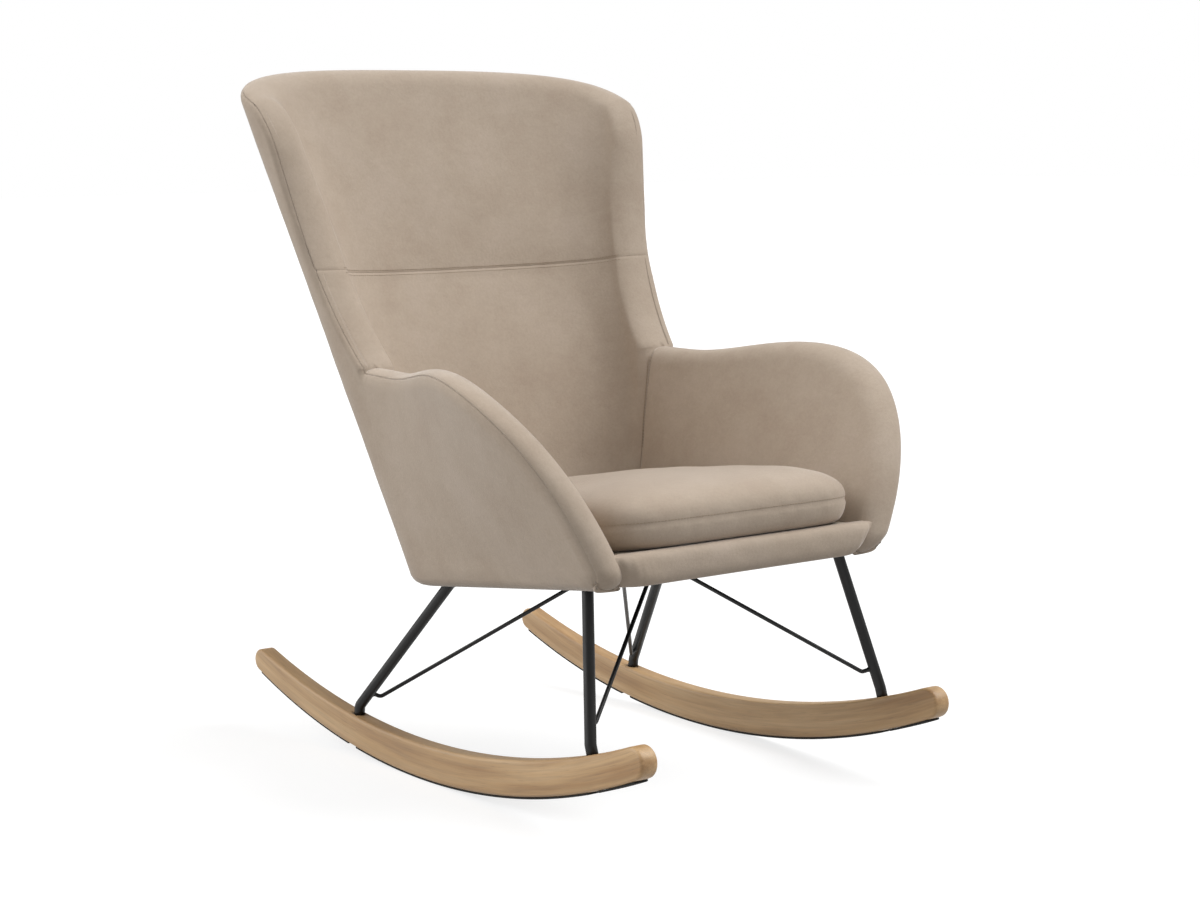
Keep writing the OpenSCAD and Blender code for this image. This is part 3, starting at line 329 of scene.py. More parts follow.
def fixed(obj):
    """Applies the modifiers of an object, so that its mesh is final."""
    graph = bpy.context.evaluated_depsgraph_get()
    mesh = bpy.data.meshes.new_from_object(obj.evaluated_get(graph), depsgraph=graph)
    obj.modifiers.clear()
    old, obj.data = obj.data, mesh
    mesh.name = obj.name
    if not old.users:
        bpy.data.meshes.remove(old)
    return obj


def closed_mesh(name, places, faces):
    """A mesh of a closed shape from places in metres, with its faces turned outwards."""
    mesh = bpy.data.meshes.new(name)
    mesh.from_pydata(places.tolist(), [], faces)
    bm = bmesh.new()
    bm.from_mesh(mesh)
    bmesh.ops.recalc_face_normals(bm, faces=bm.faces)
    bm.to_mesh(mesh)
    bm.free()
    return mesh


def thickened(obj, wall):
    """Gives a sheet a wall in millimetres, inwards from the face that shows."""
    modifier = obj.modifiers.new("thickness", "SOLIDIFY")
    modifier.thickness, modifier.offset = wall * MM, -1.0
    return fixed(obj)


def facing(bm, places, behind):
    """Positive where the faces of an open sheet look away from the places behind it."""
    tree = KDTree(len(places))
    for k, place in enumerate(places):
        tree.insert(place, k)
    tree.balance()
    bm.normal_update()
    total = 0.0
    for face in list(bm.faces)[::7]:
        middle = face.calc_center_median()
        total += face.calc_area() * face.normal.dot(middle - Vector(behind[tree.find(middle)[1]]))
    return total


def make(name, points, faces, look, nodes=(), body="chair", inside=None, thick=0.0):
    """A finished piece from points in the upright frame. inside gives, for each point, a place
    behind the visible face, and turns open sheets the right way."""
    places = stand(points)
    mesh = bpy.data.meshes.new(name)
    mesh.from_pydata(places.tolist(), [], faces)
    obj = bpy.data.objects.new(name, mesh)
    bpy.context.scene.collection.objects.link(obj)
    bm = bmesh.new()
    bm.from_mesh(mesh)
    bmesh.ops.remove_doubles(bm, verts=bm.verts, dist=2e-5)
    bmesh.ops.dissolve_degenerate(bm, edges=bm.edges, dist=1e-5)
    bmesh.ops.recalc_face_normals(bm, faces=bm.faces)
    if inside is not None and facing(bm, places, stand(inside)) < 0:
        bmesh.ops.reverse_faces(bm, faces=bm.faces)
    bm.to_mesh(mesh)
    bm.free()
    mesh.polygons.foreach_set("use_smooth", [True] * len(mesh.polygons))
    mesh.materials.append(look)
    if thick:
        thickened(obj, thick)
    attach(obj, body)
    if nodes:
        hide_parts(*([nodes] if isinstance(nodes, str) else nodes))
    return obj

# %% [markdown]
# ## Rings and tubes
# Tubes, bolts, plates, strips and the cushion are all rings of points, stacked or swept along a
# path. Curve objects with a bevel do that too, but their rings turn on their own at a bend and
# their ends are hard to shape. A few lines keep the rings square to the path and even.

# %% Rings and sweeps


def ring_stack(rings, cap_first=True, cap_last=True):
    """Points and faces of closed rings with the same count of points; the ends get flat caps."""
    rings = [np.asarray(r, float) for r in rings]
    n = len(rings[0])
    faces = grid_faces(len(rings), n, closed=True)
    last = (len(rings) - 1) * n
    if cap_first:
        faces.append(list(range(n))[::-1])
    if cap_last:
        faces.append([last + k for k in range(n)])
    return np.concatenate(rings), faces


def sweep(path, radii, sides=24):
    """Rings round a path, each square to it."""
    path = np.asarray(path, float)
    radii = np.broadcast_to(np.asarray(radii, float), len(path))
    ahead = np.gradient(path, axis=0)
    ahead /= np.linalg.norm(ahead, axis=1, keepdims=True)
    u = np.cross(ahead[0], [0.0, 1.0, 0.2])
    rings = []
    for p, t, r in zip(path, ahead, radii):
        u = u - t * (u @ t)
        u /= np.linalg.norm(u)
        v = np.cross(t, u)
        a = np.linspace(0, 2 * np.pi, sides, endpoint=False)
        rings.append(p + r * (np.cos(a)[:, None] * u + np.sin(a)[:, None] * v))
    return rings


def bent(a, b, c, radius, steps=10):
    """The way from a over b to c, with the corner at b rounded to a bend radius."""
    a, b, c = (np.asarray(p, float) for p in (a, b, c))
    u, v = (a - b) / np.linalg.norm(a - b), (c - b) / np.linalg.norm(c - b)
    half = math.acos(np.clip(u @ v, -1, 1)) / 2
    back_off = radius / math.tan(half)
    p, q = b + u * back_off, b + v * back_off
    middle = b + (u + v) / np.linalg.norm(u + v) * radius / math.sin(half)
    bend = [middle + radius * (w / np.linalg.norm(w)) for w in
            (mix(p - middle, q - middle, t) for t in np.linspace(0, 1, steps))]
    return np.array([a, *bend, c])

# %% [markdown]
# ## Small irregularities
# No padding is quite even. A Displace modifier with a noise texture would roughen it, but every
# layer has to bulge alike. A sum of a few long waves with a fixed seed gives the same gentle swell
# wherever it is asked.

# %% Gentle waves


def wander(*where, seed=0, size=60.0):
    """Smooth, wandering values between about -1 and 1, the same at every run."""
    rng = np.random.default_rng(seed)
    total = 0.0
    for k in range(6):
        waves = rng.normal(0, 1, len(where)) * (1 + 0.45 * k) / size
        total = total + np.sin(sum(w * x for w, x in zip(waves, where)) * 2.2
                               + rng.uniform(0, 6.28)) / (1 + 0.5 * k)
    return total / 2.2


# %% [markdown]
# ## Materials
# All patterns are procedural and read the object's own coordinates. The velvet varies on three
# scales, as brushed pile does: broad strokes, small tufts and single fibres. The wood bends its
# grain round the rolling centre, as a steam-bent or laminated rocker shows it. Photographs of cloth
# and wood would be quicker, but they repeat, need an unwrapped piece and tie the chair to a file.

# %% Material tools


def linear(r, g, b):
    """Screen values from 0 to 255 as the light that they stand for."""
    return [c / 12.92 if c <= 0.04045 else ((c + 0.055) / 1.055) ** 2.4
            for c in (r / 255, g / 255, b / 255)] + [1.0]


class Look:
    """A material under construction."""

    def __init__(self, name, roughness=0.5, metallic=0.0):
        self.material = bpy.data.materials.new(name)
        self.material.use_nodes = True
        self.tree = self.material.node_tree
        self.surface = self.tree.nodes["Principled BSDF"]
        self.surface.inputs["Metallic"].default_value = metallic
        self.surface.inputs["Roughness"].default_value = roughness
        self.place = self.node("ShaderNodeTexCoord").outputs["Object"]

    def feed(self, socket, value):
        """Links a socket to another, or sets its value."""
        if isinstance(value, bpy.types.NodeSocket):
            self.tree.links.new(value, socket)
        else:
            socket.default_value = value

    def node(self, kind, **inputs):
        """A new node with its inputs fed by name."""
        n = self.tree.nodes.new(kind)
        for key, value in inputs.items():
            self.feed(n.inputs[key], value)
        return n

    def math(self, operation, *values):
        """A sum or product of values or sockets."""
        n = self.node("ShaderNodeMath")
        n.operation = operation
        for k, value in enumerate(values):
            self.feed(n.inputs[k], value)
        return n.outputs[0]

    def noise(self, scale, detail=3.0, stretch=None, where=None, rough=0.5):
        """Noise on the object's own coordinates; stretch draws it out along an axis."""
        where = where or self.place
        if stretch:
            where = self.node("ShaderNodeMapping", Vector=where, Scale=stretch).outputs[0]
        return self.node("ShaderNodeTexNoise", Vector=where, Scale=scale, Detail=detail,
                         Roughness=rough).outputs["Fac"]

    def ramp(self, value, *stops):
        """Turns a value into colours given as (place, colour)."""
        n = self.node("ShaderNodeValToRGB", Fac=value)
        elements = n.color_ramp.elements
        while len(elements) < len(stops):
            elements.new(0.5)
        for e, (at, colour) in zip(elements, stops):
            e.position, e.color = at, colour
        return n.outputs["Color"]

    def blend(self, kind, amount, a, b):
        """Lays colour b over colour a."""
        n = self.node("ShaderNodeMix")
        n.data_type, n.blend_type = "RGBA", kind
        # A Mix node keeps its sockets for colours at these places
        for k, value in ((0, amount), (6, a), (7, b)):
            self.feed(n.inputs[k], value)
        return n.outputs[2]

    def set(self, **inputs):
        """Feeds the shader's own inputs."""
        for key, value in inputs.items():
            self.feed(self.surface.inputs[key.replace("_", " ")], value)
        return self

    def bump(self, *heights):
        """Stacks bumps given as (height, strength, distance in metres)."""
        normal = None
        for height, strength, distance in heights:
            n = self.node("ShaderNodeBump", Height=height, Strength=strength, Distance=distance)
            if normal:
                self.tree.links.new(normal, n.inputs["Normal"])
            normal = n.outputs["Normal"]
        self.tree.links.new(normal, self.surface.inputs["Normal"])
        return self


def grey(v):
    """A grey of a given light."""
    return [v, v, v, 1.0]


def shade(colour, times, plus=0.0):
    """A colour made darker or lighter."""
    return [c * times + plus for c in colour[:3]] + [1.0]

# %% [markdown]
# ## Velvet
# The cover is a short velvet whose pile lies this way and that, so that it shows soft patches. Hair
# could stand for the pile, at millions of strands. Sheen on the shader gives the pale glow at
# grazing angles, and noise on three scales gives strokes, tufts and fibres.

# %% Velvet


def velvet(name, light, mid, dark):
    """Short-pile velvet: brushed patches, tufts and fibres, with a soft glow at grazing angles."""
    look = Look(name, roughness=0.85)
    strokes = look.noise(10.0, 6.0, rough=0.62)
    patches = look.noise(70.0, 5.0, (0.7, 0.7, 1.0), rough=0.65)
    tufts = look.noise(240.0, 2.0)
    fibres = look.noise(1700.0, 2.0)
    base = look.ramp(strokes, (0.32, dark), (0.5, mid), (0.7, light))
    base = look.blend("SOFT_LIGHT", 0.25, base, look.ramp(patches, (0.3, grey(0.38)), (0.7, grey(0.62))))
    base = look.blend("MULTIPLY", 0.35, base, look.ramp(tufts, (0.3, grey(0.86)), (0.65, grey(1.0))))
    base = look.blend("MULTIPLY", 0.5, base, look.ramp(fibres, (0.3, grey(0.78)), (0.7, grey(1.0))))
    look.set(Base_Color=base, Sheen_Weight=0.55, Sheen_Roughness=0.32,
             Sheen_Tint=[1.0, 0.97, 0.94, 1.0], Specular_IOR_Level=0.2,
             Roughness=look.ramp(patches, (0.3, grey(0.78)), (0.7, grey(0.94))))
    look.bump((fibres, 0.35, 0.0004), (tufts, 0.3, 0.0009), (patches, 0.08, 0.0015))
    return look.material

# %% [markdown]
# ## Steel
# Legs and braces are sprayed black, and the bolts are blackened or zinc plated. One even colour
# would do from afar. A cloud in the roughness and a fine bump keep the highlights from looking like
# plastic.

# %% Paint and plating


def painted(name, colour, roughness):
    """Sprayed paint on steel: a fine orange peel and a roughness that varies."""
    look = Look(name, roughness=roughness)
    peel = look.noise(900.0, 2.0)
    cloud = look.noise(30.0, 3.0)
    look.set(Base_Color=look.ramp(cloud, (0.3, shade(colour, 0.8)), (0.7, colour)),
             Roughness=look.ramp(cloud, (0.3, grey(roughness - 0.07)), (0.7, grey(roughness + 0.08))),
             Coat_Weight=0.06, Coat_Roughness=0.3, Specular_IOR_Level=0.35)
    look.bump((peel, 0.12, 0.0002))
    return look.material


def metal(name, colour, roughness):
    """Plated or blackened steel with fine turning marks."""
    look = Look(name, roughness=roughness, metallic=1.0)
    lines = look.noise(700.0, 3.0, (1.0, 1.0, 14.0))
    look.set(Base_Color=look.ramp(lines, (0.3, shade(colour, 0.85)), (0.7, colour)),
             Roughness=look.ramp(lines, (0.2, grey(roughness - 0.08)), (0.8, grey(roughness + 0.1))))
    look.bump((lines, 0.15, 0.0002))
    return look.material

# %% [markdown]
# ## Woven cloth
# The lining, the dust cloth and the webbing are plain weaves. A picture of cloth would need an
# unwrapped piece. Two sine waves across each other make the threads at a pitch that can be measured
# on real cloth.

# %% Woven cloth


def weave(name, colour, pitch):
    """Plain woven cloth: two sets of threads cross at a pitch in metres."""
    look = Look(name, roughness=0.85)
    split = look.node("ShaderNodeSeparateXYZ", Vector=look.place)
    across = look.math("SINE", look.math("MULTIPLY", split.outputs["X"], 6.283 / pitch))
    along = look.math("SINE", look.math("MULTIPLY", split.outputs["Y"], 6.283 / pitch))
    threads = look.math("MULTIPLY_ADD", look.math("MULTIPLY", across, along), 0.5, 0.5)
    cloud = look.noise(40.0, 3.0)
    base = look.blend("MULTIPLY", 0.6, colour, look.ramp(threads, (0.2, grey(0.55)), (0.8, grey(1.0))))
    base = look.blend("MULTIPLY", 0.4, base, look.ramp(cloud, (0.3, grey(0.75)), (0.7, grey(1.0))))
    look.set(Base_Color=base, Sheen_Weight=0.2, Specular_IOR_Level=0.25)
    look.bump((threads, 0.5, pitch / 3))
    return look.material

# %% [markdown]
# ## Wood
# The rockers are bent from a light hardwood, so the grain follows the curve. Straight grain would
# be simpler, but it would run out of the edges, as on a board that was sawn. The pattern reads the
# angle and the radius round the rolling centre instead.

# %% Wood that bends with the rocker


def rolling_place(look):
    """Coordinates that follow the rockers: length along the board, depth and breadth."""
    split = look.node("ShaderNodeSeparateXYZ", Vector=look.place)
    y = look.math("SUBTRACT", split.outputs["Y"], SHIFT * MM)
    down = look.math("SUBTRACT", ROLL * MM, split.outputs["Z"])
    angle = look.math("ARCTAN2", y, down)
    radius = look.math("SQRT", look.math("ADD", look.math("MULTIPLY", y, y),
                                         look.math("MULTIPLY", down, down)))
    return look.node("ShaderNodeCombineXYZ", X=look.math("MULTIPLY", angle, ROLL * MM),
                     Y=radius, Z=split.outputs["X"]).outputs[0]


def wood(name, light, mid, dark):
    """Light hardwood whose grain runs round with the rocker."""
    look = Look(name, roughness=0.5)
    place = rolling_place(look)
    warp = look.noise(9.0, 3.0, (0.5, 1.0, 1.0), where=place)
    bands = look.noise(46.0, 4.0, (0.045, 1.0, 0.55), where=place, rough=0.6)
    fibre = look.noise(420.0, 3.0, (0.03, 1.0, 1.0), where=place)
    pores = look.noise(900.0, 2.0, (0.035, 1.0, 1.0), where=place)
    figure = look.math("ADD", look.math("MULTIPLY", bands, 0.75), look.math("MULTIPLY", warp, 0.25))
    base = look.ramp(figure, (0.36, dark), (0.5, mid), (0.64, light))
    base = look.blend("MULTIPLY", 0.5, base, look.ramp(fibre, (0.35, grey(0.72)), (0.6, grey(1.0))))
    base = look.blend("MULTIPLY", 0.6, base, look.ramp(pores, (0.28, grey(0.6)), (0.36, grey(1.0))))
    look.set(Base_Color=base, Coat_Weight=0.12, Coat_Roughness=0.35,
             Roughness=look.ramp(fibre, (0.3, grey(0.42)), (0.7, grey(0.58))))
    look.bump((fibre, 0.12, 0.0004), (pores, 0.2, 0.0002))
    return look.material

# %% [markdown]
# ## Plywood and rubber
# The seat board is plywood and the treads are rubber. Both are hardly seen, so a plain colour would
# pass. Layers on the edge of the board and a little dust on the treads cost nothing, and show when
# the chair is turned over or taken apart.

# %% Plywood and rubber


def plies(name):
    """Plywood: thin layers on the edge, pale veneer on the faces."""
    look = Look(name, roughness=0.7)
    layers = look.noise(60.0, 2.0, (0.4, 0.4, 9.0))
    grain = look.noise(160.0, 3.0, (1.0, 0.05, 1.0))
    base = look.ramp(layers, (0.4, linear(150, 116, 78)), (0.6, linear(205, 176, 134)))
    base = look.blend("MULTIPLY", 0.5, base, look.ramp(grain, (0.3, grey(0.8)), (0.7, grey(1.0))))
    look.set(Base_Color=base).bump((grain, 0.2, 0.0004))
    return look.material


def rubber(name, colour):
    """Dark moulded rubber with a little dust in its grain."""
    look = Look(name, roughness=0.75)
    dust = look.noise(60.0, 4.0)
    grain = look.noise(1500.0, 2.0)
    look.set(Base_Color=look.ramp(dust, (0.4, colour), (0.75, shade(colour, 1.7, 0.004))),
             Specular_IOR_Level=0.3).bump((grain, 0.3, 0.0002))
    return look.material


# %% [markdown]
# ## The chair's own finishes
# A warm grey-brown velvet with thread a shade darker, black sprayed steel, a light open-pored
# hardwood, and plain cloths underneath. Each could be one flat colour. Cloth and wood never are, so
# each gets three near tones, and the difference between them is kept small.

# %% Materials of the chair
VELVET = velvet("velvet", linear(189, 173, 157), linear(185, 169, 152), linear(180, 163, 146))
THREAD = velvet("sewing_thread", linear(168, 150, 129), linear(160, 142, 121), linear(150, 132, 112))
LINING = weave("lining_cloth", linear(172, 160, 142), 0.0011)
BLACK_CLOTH = weave("dust_cloth", linear(38, 36, 34), 0.0016)
WEBBING = weave("elastic_webbing", linear(46, 42, 38), 0.0024)
WOOD = wood("rocker_wood", linear(203, 170, 128), linear(186, 151, 108), linear(160, 123, 82))
BLACK = painted("black_paint", linear(17, 17, 17), 0.46)
FRAME_STEEL = painted("frame_paint", linear(58, 58, 60), 0.5)
BOLT = metal("black_oxide", linear(46, 45, 44), 0.42)
ZINC = metal("zinc_plate", linear(190, 190, 188), 0.34)
PLYWOOD = plies("plywood")
RUBBER = rubber("tread_rubber", linear(20, 17, 14))
print("materials:", len(bpy.data.materials))

# %% [markdown]
# ## CAD pieces that stay
# The frame inside the shell, its straps, the seat board and the plugs keep their CAD meshes. They
# get a finish that fits what they are made of. Most are hidden, so a new shape would add nothing,
# but a bare grey part would show when a cover is taken off.

# %% Finishes for the CAD nodes
CAD_LOOKS = {
    "foot_plugs": ZINC, "tee_nuts": ZINC, "seat_board": PLYWOOD,
    "back_hoop": FRAME_STEEL, "back_bars": FRAME_STEEL,
    "arm_hoop_left": FRAME_STEEL, "arm_hoop_right": FRAME_STEEL, "back_straps": WEBBING,
}
for node, look in CAD_LOOKS.items():
    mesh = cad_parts[node].data
    mesh.materials.clear()
    mesh.materials.append(look)
print("CAD pieces that stay:", ", ".join(CAD_LOOKS))

# %% [markdown]
# ## Rockers
# A rocker is a crescent between two circles with a round tip at each end. It could be cut from a
# board by a Boolean and bevelled, but the bevel breaks where the circles meet the tips. So its
# outline is drawn once and inset a little towards both faces, which rounds all its edges over. Only
# the pockets for the feet and their bolts are bored afterwards, as a maker would.

# %% Rockers
SPACING = 518.0                        # between the middles of the rockers
BOARD_OUT = ROLL - 3.0                 # running edge of the wood, inside the treads
BOARD_HALF, BOARD_EDGE = 14.0, 5.0     # half its thickness and the rounding of its edges
TIP_FRONT, TIP_REAR = 22.0, 17.5       # radii of the tips
REACH_FRONT, REACH_REAR = 554.0, 446.0
DEPTH_FRONT, DEPTH_REAR = 44.0, 35.0   # depth of the board at its tips
CREST_MIDDLE = 53.0                    # height of the upper edge over the contact
EDGE_STEPS, TIP_STEPS = 72, 12


def down(angle, radius):
    """Reach and height of a place seen from the rolling centre."""
    return np.stack([radius * np.sin(angle), ROLL - radius * np.cos(angle)], -1)


front_tip = -math.asin((REACH_FRONT - TIP_FRONT) / (BOARD_OUT - TIP_FRONT))
rear_tip = math.asin((REACH_REAR - TIP_REAR) / (BOARD_OUT - TIP_REAR))
# The upper edge is the circle through three places on it
crest = [down(front_tip, BOARD_OUT - DEPTH_FRONT), np.array([0.0, CREST_MIDDLE]),
         down(rear_tip, BOARD_OUT - DEPTH_REAR)]
(ax, ay), (bx, by), (cx, cy) = crest
d = 2 * (ax * (by - cy) + bx * (cy - ay) + cx * (ay - by))
squares = [ax * ax + ay * ay, bx * bx + by * by, cx * cx + cy * cy]
CREST = np.array([(squares[0] * (by - cy) + squares[1] * (cy - ay) + squares[2] * (ay - by)) / d,
                  (squares[0] * (cx - bx) + squares[1] * (ax - cx) + squares[2] * (bx - ax)) / d])
CREST_RADIUS = np.linalg.norm(CREST - crest[1])


def crest_z(y):
    """Height of a rocker's upper edge."""
    return CREST[1] - np.sqrt(CREST_RADIUS ** 2 - (y - CREST[0]) ** 2)


def rocker_outline():
    """Side view: the running edge, the rear tip, the upper edge and the front tip."""
    lower = down(np.linspace(front_tip, rear_tip, EDGE_STEPS), BOARD_OUT)
    y = np.linspace(crest[2][0], crest[0][0], EDGE_STEPS)
    upper = np.stack([y, crest_z(y)], -1)

    def tip(angle, radius, side):
        t = np.linspace(0, np.pi, TIP_STEPS + 2)[1:-1, None]
        outward = np.array([math.sin(angle), -math.cos(angle)])
        along = side * np.array([math.cos(angle), math.sin(angle)])
        return down(angle, BOARD_OUT - radius) + radius * (np.cos(t) * outward + np.sin(t) * along)
    return np.concatenate([lower, tip(rear_tip, TIP_REAR, 1), upper, tip(front_tip, TIP_FRONT, -1)[::-1]])


def closed_inset(outline, d):
    """A closed outline drawn in by a distance."""
    ahead = np.roll(outline, -1, 0) - np.roll(outline, 1, 0)
    ahead /= np.linalg.norm(ahead, axis=1, keepdims=True)
    return outline + d * np.stack([-ahead[:, 1], ahead[:, 0]], -1)


def rocker(sign):
    """Points and faces of a board; its two flat faces are capped strip by strip."""
    outline = rocker_outline()
    rings = [(BOARD_EDGE * (1 - math.sin(a)), BOARD_HALF - BOARD_EDGE * (1 - math.cos(a)))
             for a in np.radians(np.linspace(0, 90, 6))]
    rings += [(d, -x) for d, x in rings[::-1]]
    stack = []
    for d, x in rings:
        p = closed_inset(outline, d)
        stack.append(np.column_stack([np.full(len(p), sign * SPACING / 2 + x), p]))
    points, faces = ring_stack(stack, False, False)
    steps, tips = EDGE_STEPS, TIP_STEPS
    for start, flip in ((0, False), ((len(rings) - 1) * len(outline), True)):
        cap = [[i, i + 1, 2 * steps + tips - 2 - i, 2 * steps + tips - 1 - i] for i in range(steps - 1)]
        cap.append([steps - 1] + [steps + k for k in range(tips)] + [steps + tips])
        cap.append([2 * steps + tips - 1] + [2 * steps + tips + k for k in range(tips)] + [0])
        faces += [[start + v for v in (f[::-1] if flip else f)] for f in cap]
    return points, faces


print("the upper edge has a radius of", round(CREST_RADIUS), "mm")

# %% [markdown]
# ## Pockets for the feet
# A leg stands in a blind hole in the upper edge, and its bolt comes from below, its head sunk in a
# pocket. Dark discs on the wood would look the same from afar, but the holes are real and show in
# the mesh. A Boolean with an exact solver cuts them.

# %% Bored rockers
FEET = (-432.0, 150.0)         # reach of the front and rear feet
BOLT_POCKET, TUBE_POCKET = 6.4, 8.25


def foot_angle(reach):
    """The angle at which a leg stands square on its rocker."""
    return math.atan2(reach, ROLL - crest_z(reach))


def foot_radius(reach):
    """Distance of a foot from the rolling centre."""
    return math.hypot(reach, ROLL - crest_z(reach))


def bore(obj, sign, reach, radius, from_radius, to_radius):
    """Cuts a round hole into a rocker, along a foot's own line."""
    a = foot_angle(reach)
    path = [[sign * SPACING / 2, *down(a, r)] for r in (from_radius, to_radius)]
    points, faces = ring_stack(sweep(path, radius, 32))
    cutter = bpy.data.objects.new("cutter", closed_mesh("cutter", stand(points), faces))
    bpy.context.scene.collection.objects.link(cutter)
    cut = obj.modifiers.new("bore", "BOOLEAN")
    cut.operation, cut.solver, cut.object = "DIFFERENCE", "EXACT", cutter
    fixed(obj)
    bpy.data.objects.remove(cutter)


SIDES = {"left": 1, "right": -1}
for side, sign in SIDES.items():
    points, faces = rocker(sign)
    board = make(f"rocker_{side}_wood", points, faces, WOOD, f"rocker_{side}")
    for reach in FEET:
        bore(board, sign, reach, BOLT_POCKET, BOARD_OUT + 6, BOARD_OUT - 9)
        bore(board, sign, reach, TUBE_POCKET, foot_radius(reach) - 6, foot_radius(reach) + 8)
    box = [[round(v, 3) for v in p] for p in (board.bound_box[0], board.bound_box[6])]
    print(board.name, "box in metres", box)

# %% [markdown]
# ## Treads
# The treads are rubber strips in three lengths under each rocker, with a gap under each foot. An
# Array along a curve would bend them too, but would also stretch their ends. One section with three
# shallow grooves is set round the rolling circle instead.

# %% Treads
GAP_ANGLE = 11.0 / ROLL
TIP_ANGLE = 6.0 / ROLL
TREADS = {"front": (front_tip + TIP_ANGLE, foot_angle(FEET[0]) - GAP_ANGLE),
          "middle": (foot_angle(FEET[0]) + GAP_ANGLE, foot_angle(FEET[1]) - GAP_ANGLE),
          "rear": (foot_angle(FEET[1]) + GAP_ANGLE, rear_tip - TIP_ANGLE)}
# Place across the strip and depth below the wood
TREAD_SECTION = [(-11, 0.1), (-11, 1.6), (-10.5, 2.6), (-9.6, 3.0), (-6.8, 3.0), (-6.3, 2.3), (-5.3, 2.3),
                 (-4.8, 3.0), (-1.0, 3.0), (-0.5, 2.3), (0.5, 2.3), (1.0, 3.0), (4.8, 3.0), (5.3, 2.3),
                 (6.3, 2.3), (6.8, 3.0), (9.6, 3.0), (10.5, 2.6), (11, 1.6), (11, 0.1)]


def tread(sign, start, end):
    """One strip between two angles, with its ends eased off."""
    rings = []
    steps = max(8, int((end - start) * ROLL / 12))
    run = np.linspace(start, end, steps)
    ease = 1.2 / ROLL
    middle = [(t, 0.0) for t in np.clip(run, start + ease, end - ease)]
    for a, low in [(start, 0.7), *middle, (end, 0.7)]:
        ring = []
        for x, deep in TREAD_SECTION:
            p = down(a, BOARD_OUT + min(deep, 3.0 - low) if deep > 0.1 else BOARD_OUT + 0.1)
            ring.append([sign * SPACING / 2 + x * (1 - 0.02 * low), p[0], p[1]])
        rings.append(ring)
    return ring_stack(rings)


for side, sign in SIDES.items():
    for part, (start, end) in TREADS.items():
        points, faces = tread(sign, start, end)
        strip = make(f"tread_{part}_{side}", points, faces, RUBBER, f"strip_{part}_{side}")
        for polygon in strip.data.polygons:
            polygon.use_smooth = False
print("treads run over", [round((end - start) * ROLL) for start, end in TREADS.values()], "mm")

# %% [markdown]
# ## Legs and braces
# A leg stands square in its rocker, bends just above the wood and leans in to a plate under the
# seat. A thin brace leaves each leg near its foot and climbs to a plate on the middle line. Bevelled
# curves would draw both, but a weld swells the tube, so rings of their own radius are swept along
# each way.

# %% Steelwork
PLATE_UNDER = 3.0              # underside of the plates above the shell's lower edge
TUBE, ROD = 8.0, 3.0           # radii of the legs and the braces
WELD = [TUBE, 8.3, 9.0, 10.0, 10.6]
BRACE_UP, BRACE_BEND, BRACE_MIDDLE = 30.0, 10.2, 16.0
# Reach of the foot, reach and spread of the plates, reach where the brace ends
LEGS = {"front": (-432.0, -372.0, 444.0, -250.0), "rear": (150.0, -12.0, 398.0, -136.0)}


def foot_point(reach, up):
    """A place on a foot's own line, at a height over the wood."""
    return np.array([SPACING / 2, *down(foot_angle(reach), foot_radius(reach) - up)])


def top_point(y, spread):
    """Where a leg meets its plate."""
    return np.array([spread / 2, y, low_z(y) + PLATE_UNDER / math.cos(TILT)])


def toward(a, b, distance):
    """A little beyond b, on the way from a."""
    return b + (b - a) / np.linalg.norm(b - a) * distance


def beside(end, next_one, distances):
    """Extra places near an end of a path, for the swelling of its weld."""
    return [end + (next_one - end) / np.linalg.norm(next_one - end) * d for d in distances]


def leg_path(reach, top_y, spread):
    """From the pocket in the wood, round the bend and up to the plate."""
    foot, knee = foot_point(reach, -7.5), foot_point(reach, 13.0)
    top = top_point(top_y, spread)
    run = bent(foot, knee, toward(knee, top, 1.2), 16.0, 12)
    return np.array([*run[:-1], *beside(run[-1], run[-2], (7.0, 4.5, 2.8, 1.4)), run[-1]])


def brace_path(reach, top_y, spread, meet_y):
    """From the leg outwards, round a small bend and up to the plate on the middle line."""
    bend, top = foot_point(reach, 13.0), top_point(top_y, spread)
    along = (top - bend) / np.linalg.norm(top - bend)
    at_leg = bend + along * BRACE_UP
    goal = np.array([BRACE_MIDDLE, meet_y, low_z(meet_y) + PLATE_UNDER / math.cos(TILT)])
    away = goal - at_leg
    away -= along * (away @ along)
    away /= np.linalg.norm(away)
    start, knee = at_leg + away * (TUBE - 2.0), at_leg + away * (TUBE + 0.2 + BRACE_BEND)
    run = bent(start, knee, toward(knee, goal, 1.0), 7.0, 8)
    return np.array([run[0], *beside(run[0], run[1], (1.5, 2.6, 4.0)), *run[1:-1],
                     *beside(run[-1], run[-2], (5.0, 3.0, 1.6)), run[-1]])


def mirrored(points, sign):
    """Places of the left side, or the same on the right."""
    p = np.array(points, float)
    p[:, 0] *= sign
    return p


for side, sign in SIDES.items():
    for end, (reach, top_y, spread, meet_y) in LEGS.items():
        path = mirrored(leg_path(reach, top_y, spread), sign)
        radii = np.array([TUBE] * (len(path) - len(WELD)) + WELD)
        points, faces = ring_stack(sweep(path, radii, 32))
        make(f"steel_leg_{end}_{side}", points, faces, BLACK, f"leg_{end}_{side}")
        path = mirrored(brace_path(reach, top_y, spread, meet_y), sign)
        radii = np.full(len(path), ROD)
        radii[:4] = [4.6, 4.4, 3.6, 3.05]
        radii[-4:] = [3.0, 3.5, 4.3, 4.8]
        points, faces = ring_stack(sweep(path, radii, 20))
        make(f"steel_brace_{end}_{side}", points, faces, BLACK, f"brace_{end}_{side}")
print("legs:", 2 * len(LEGS), "braces:", 2 * len(LEGS))

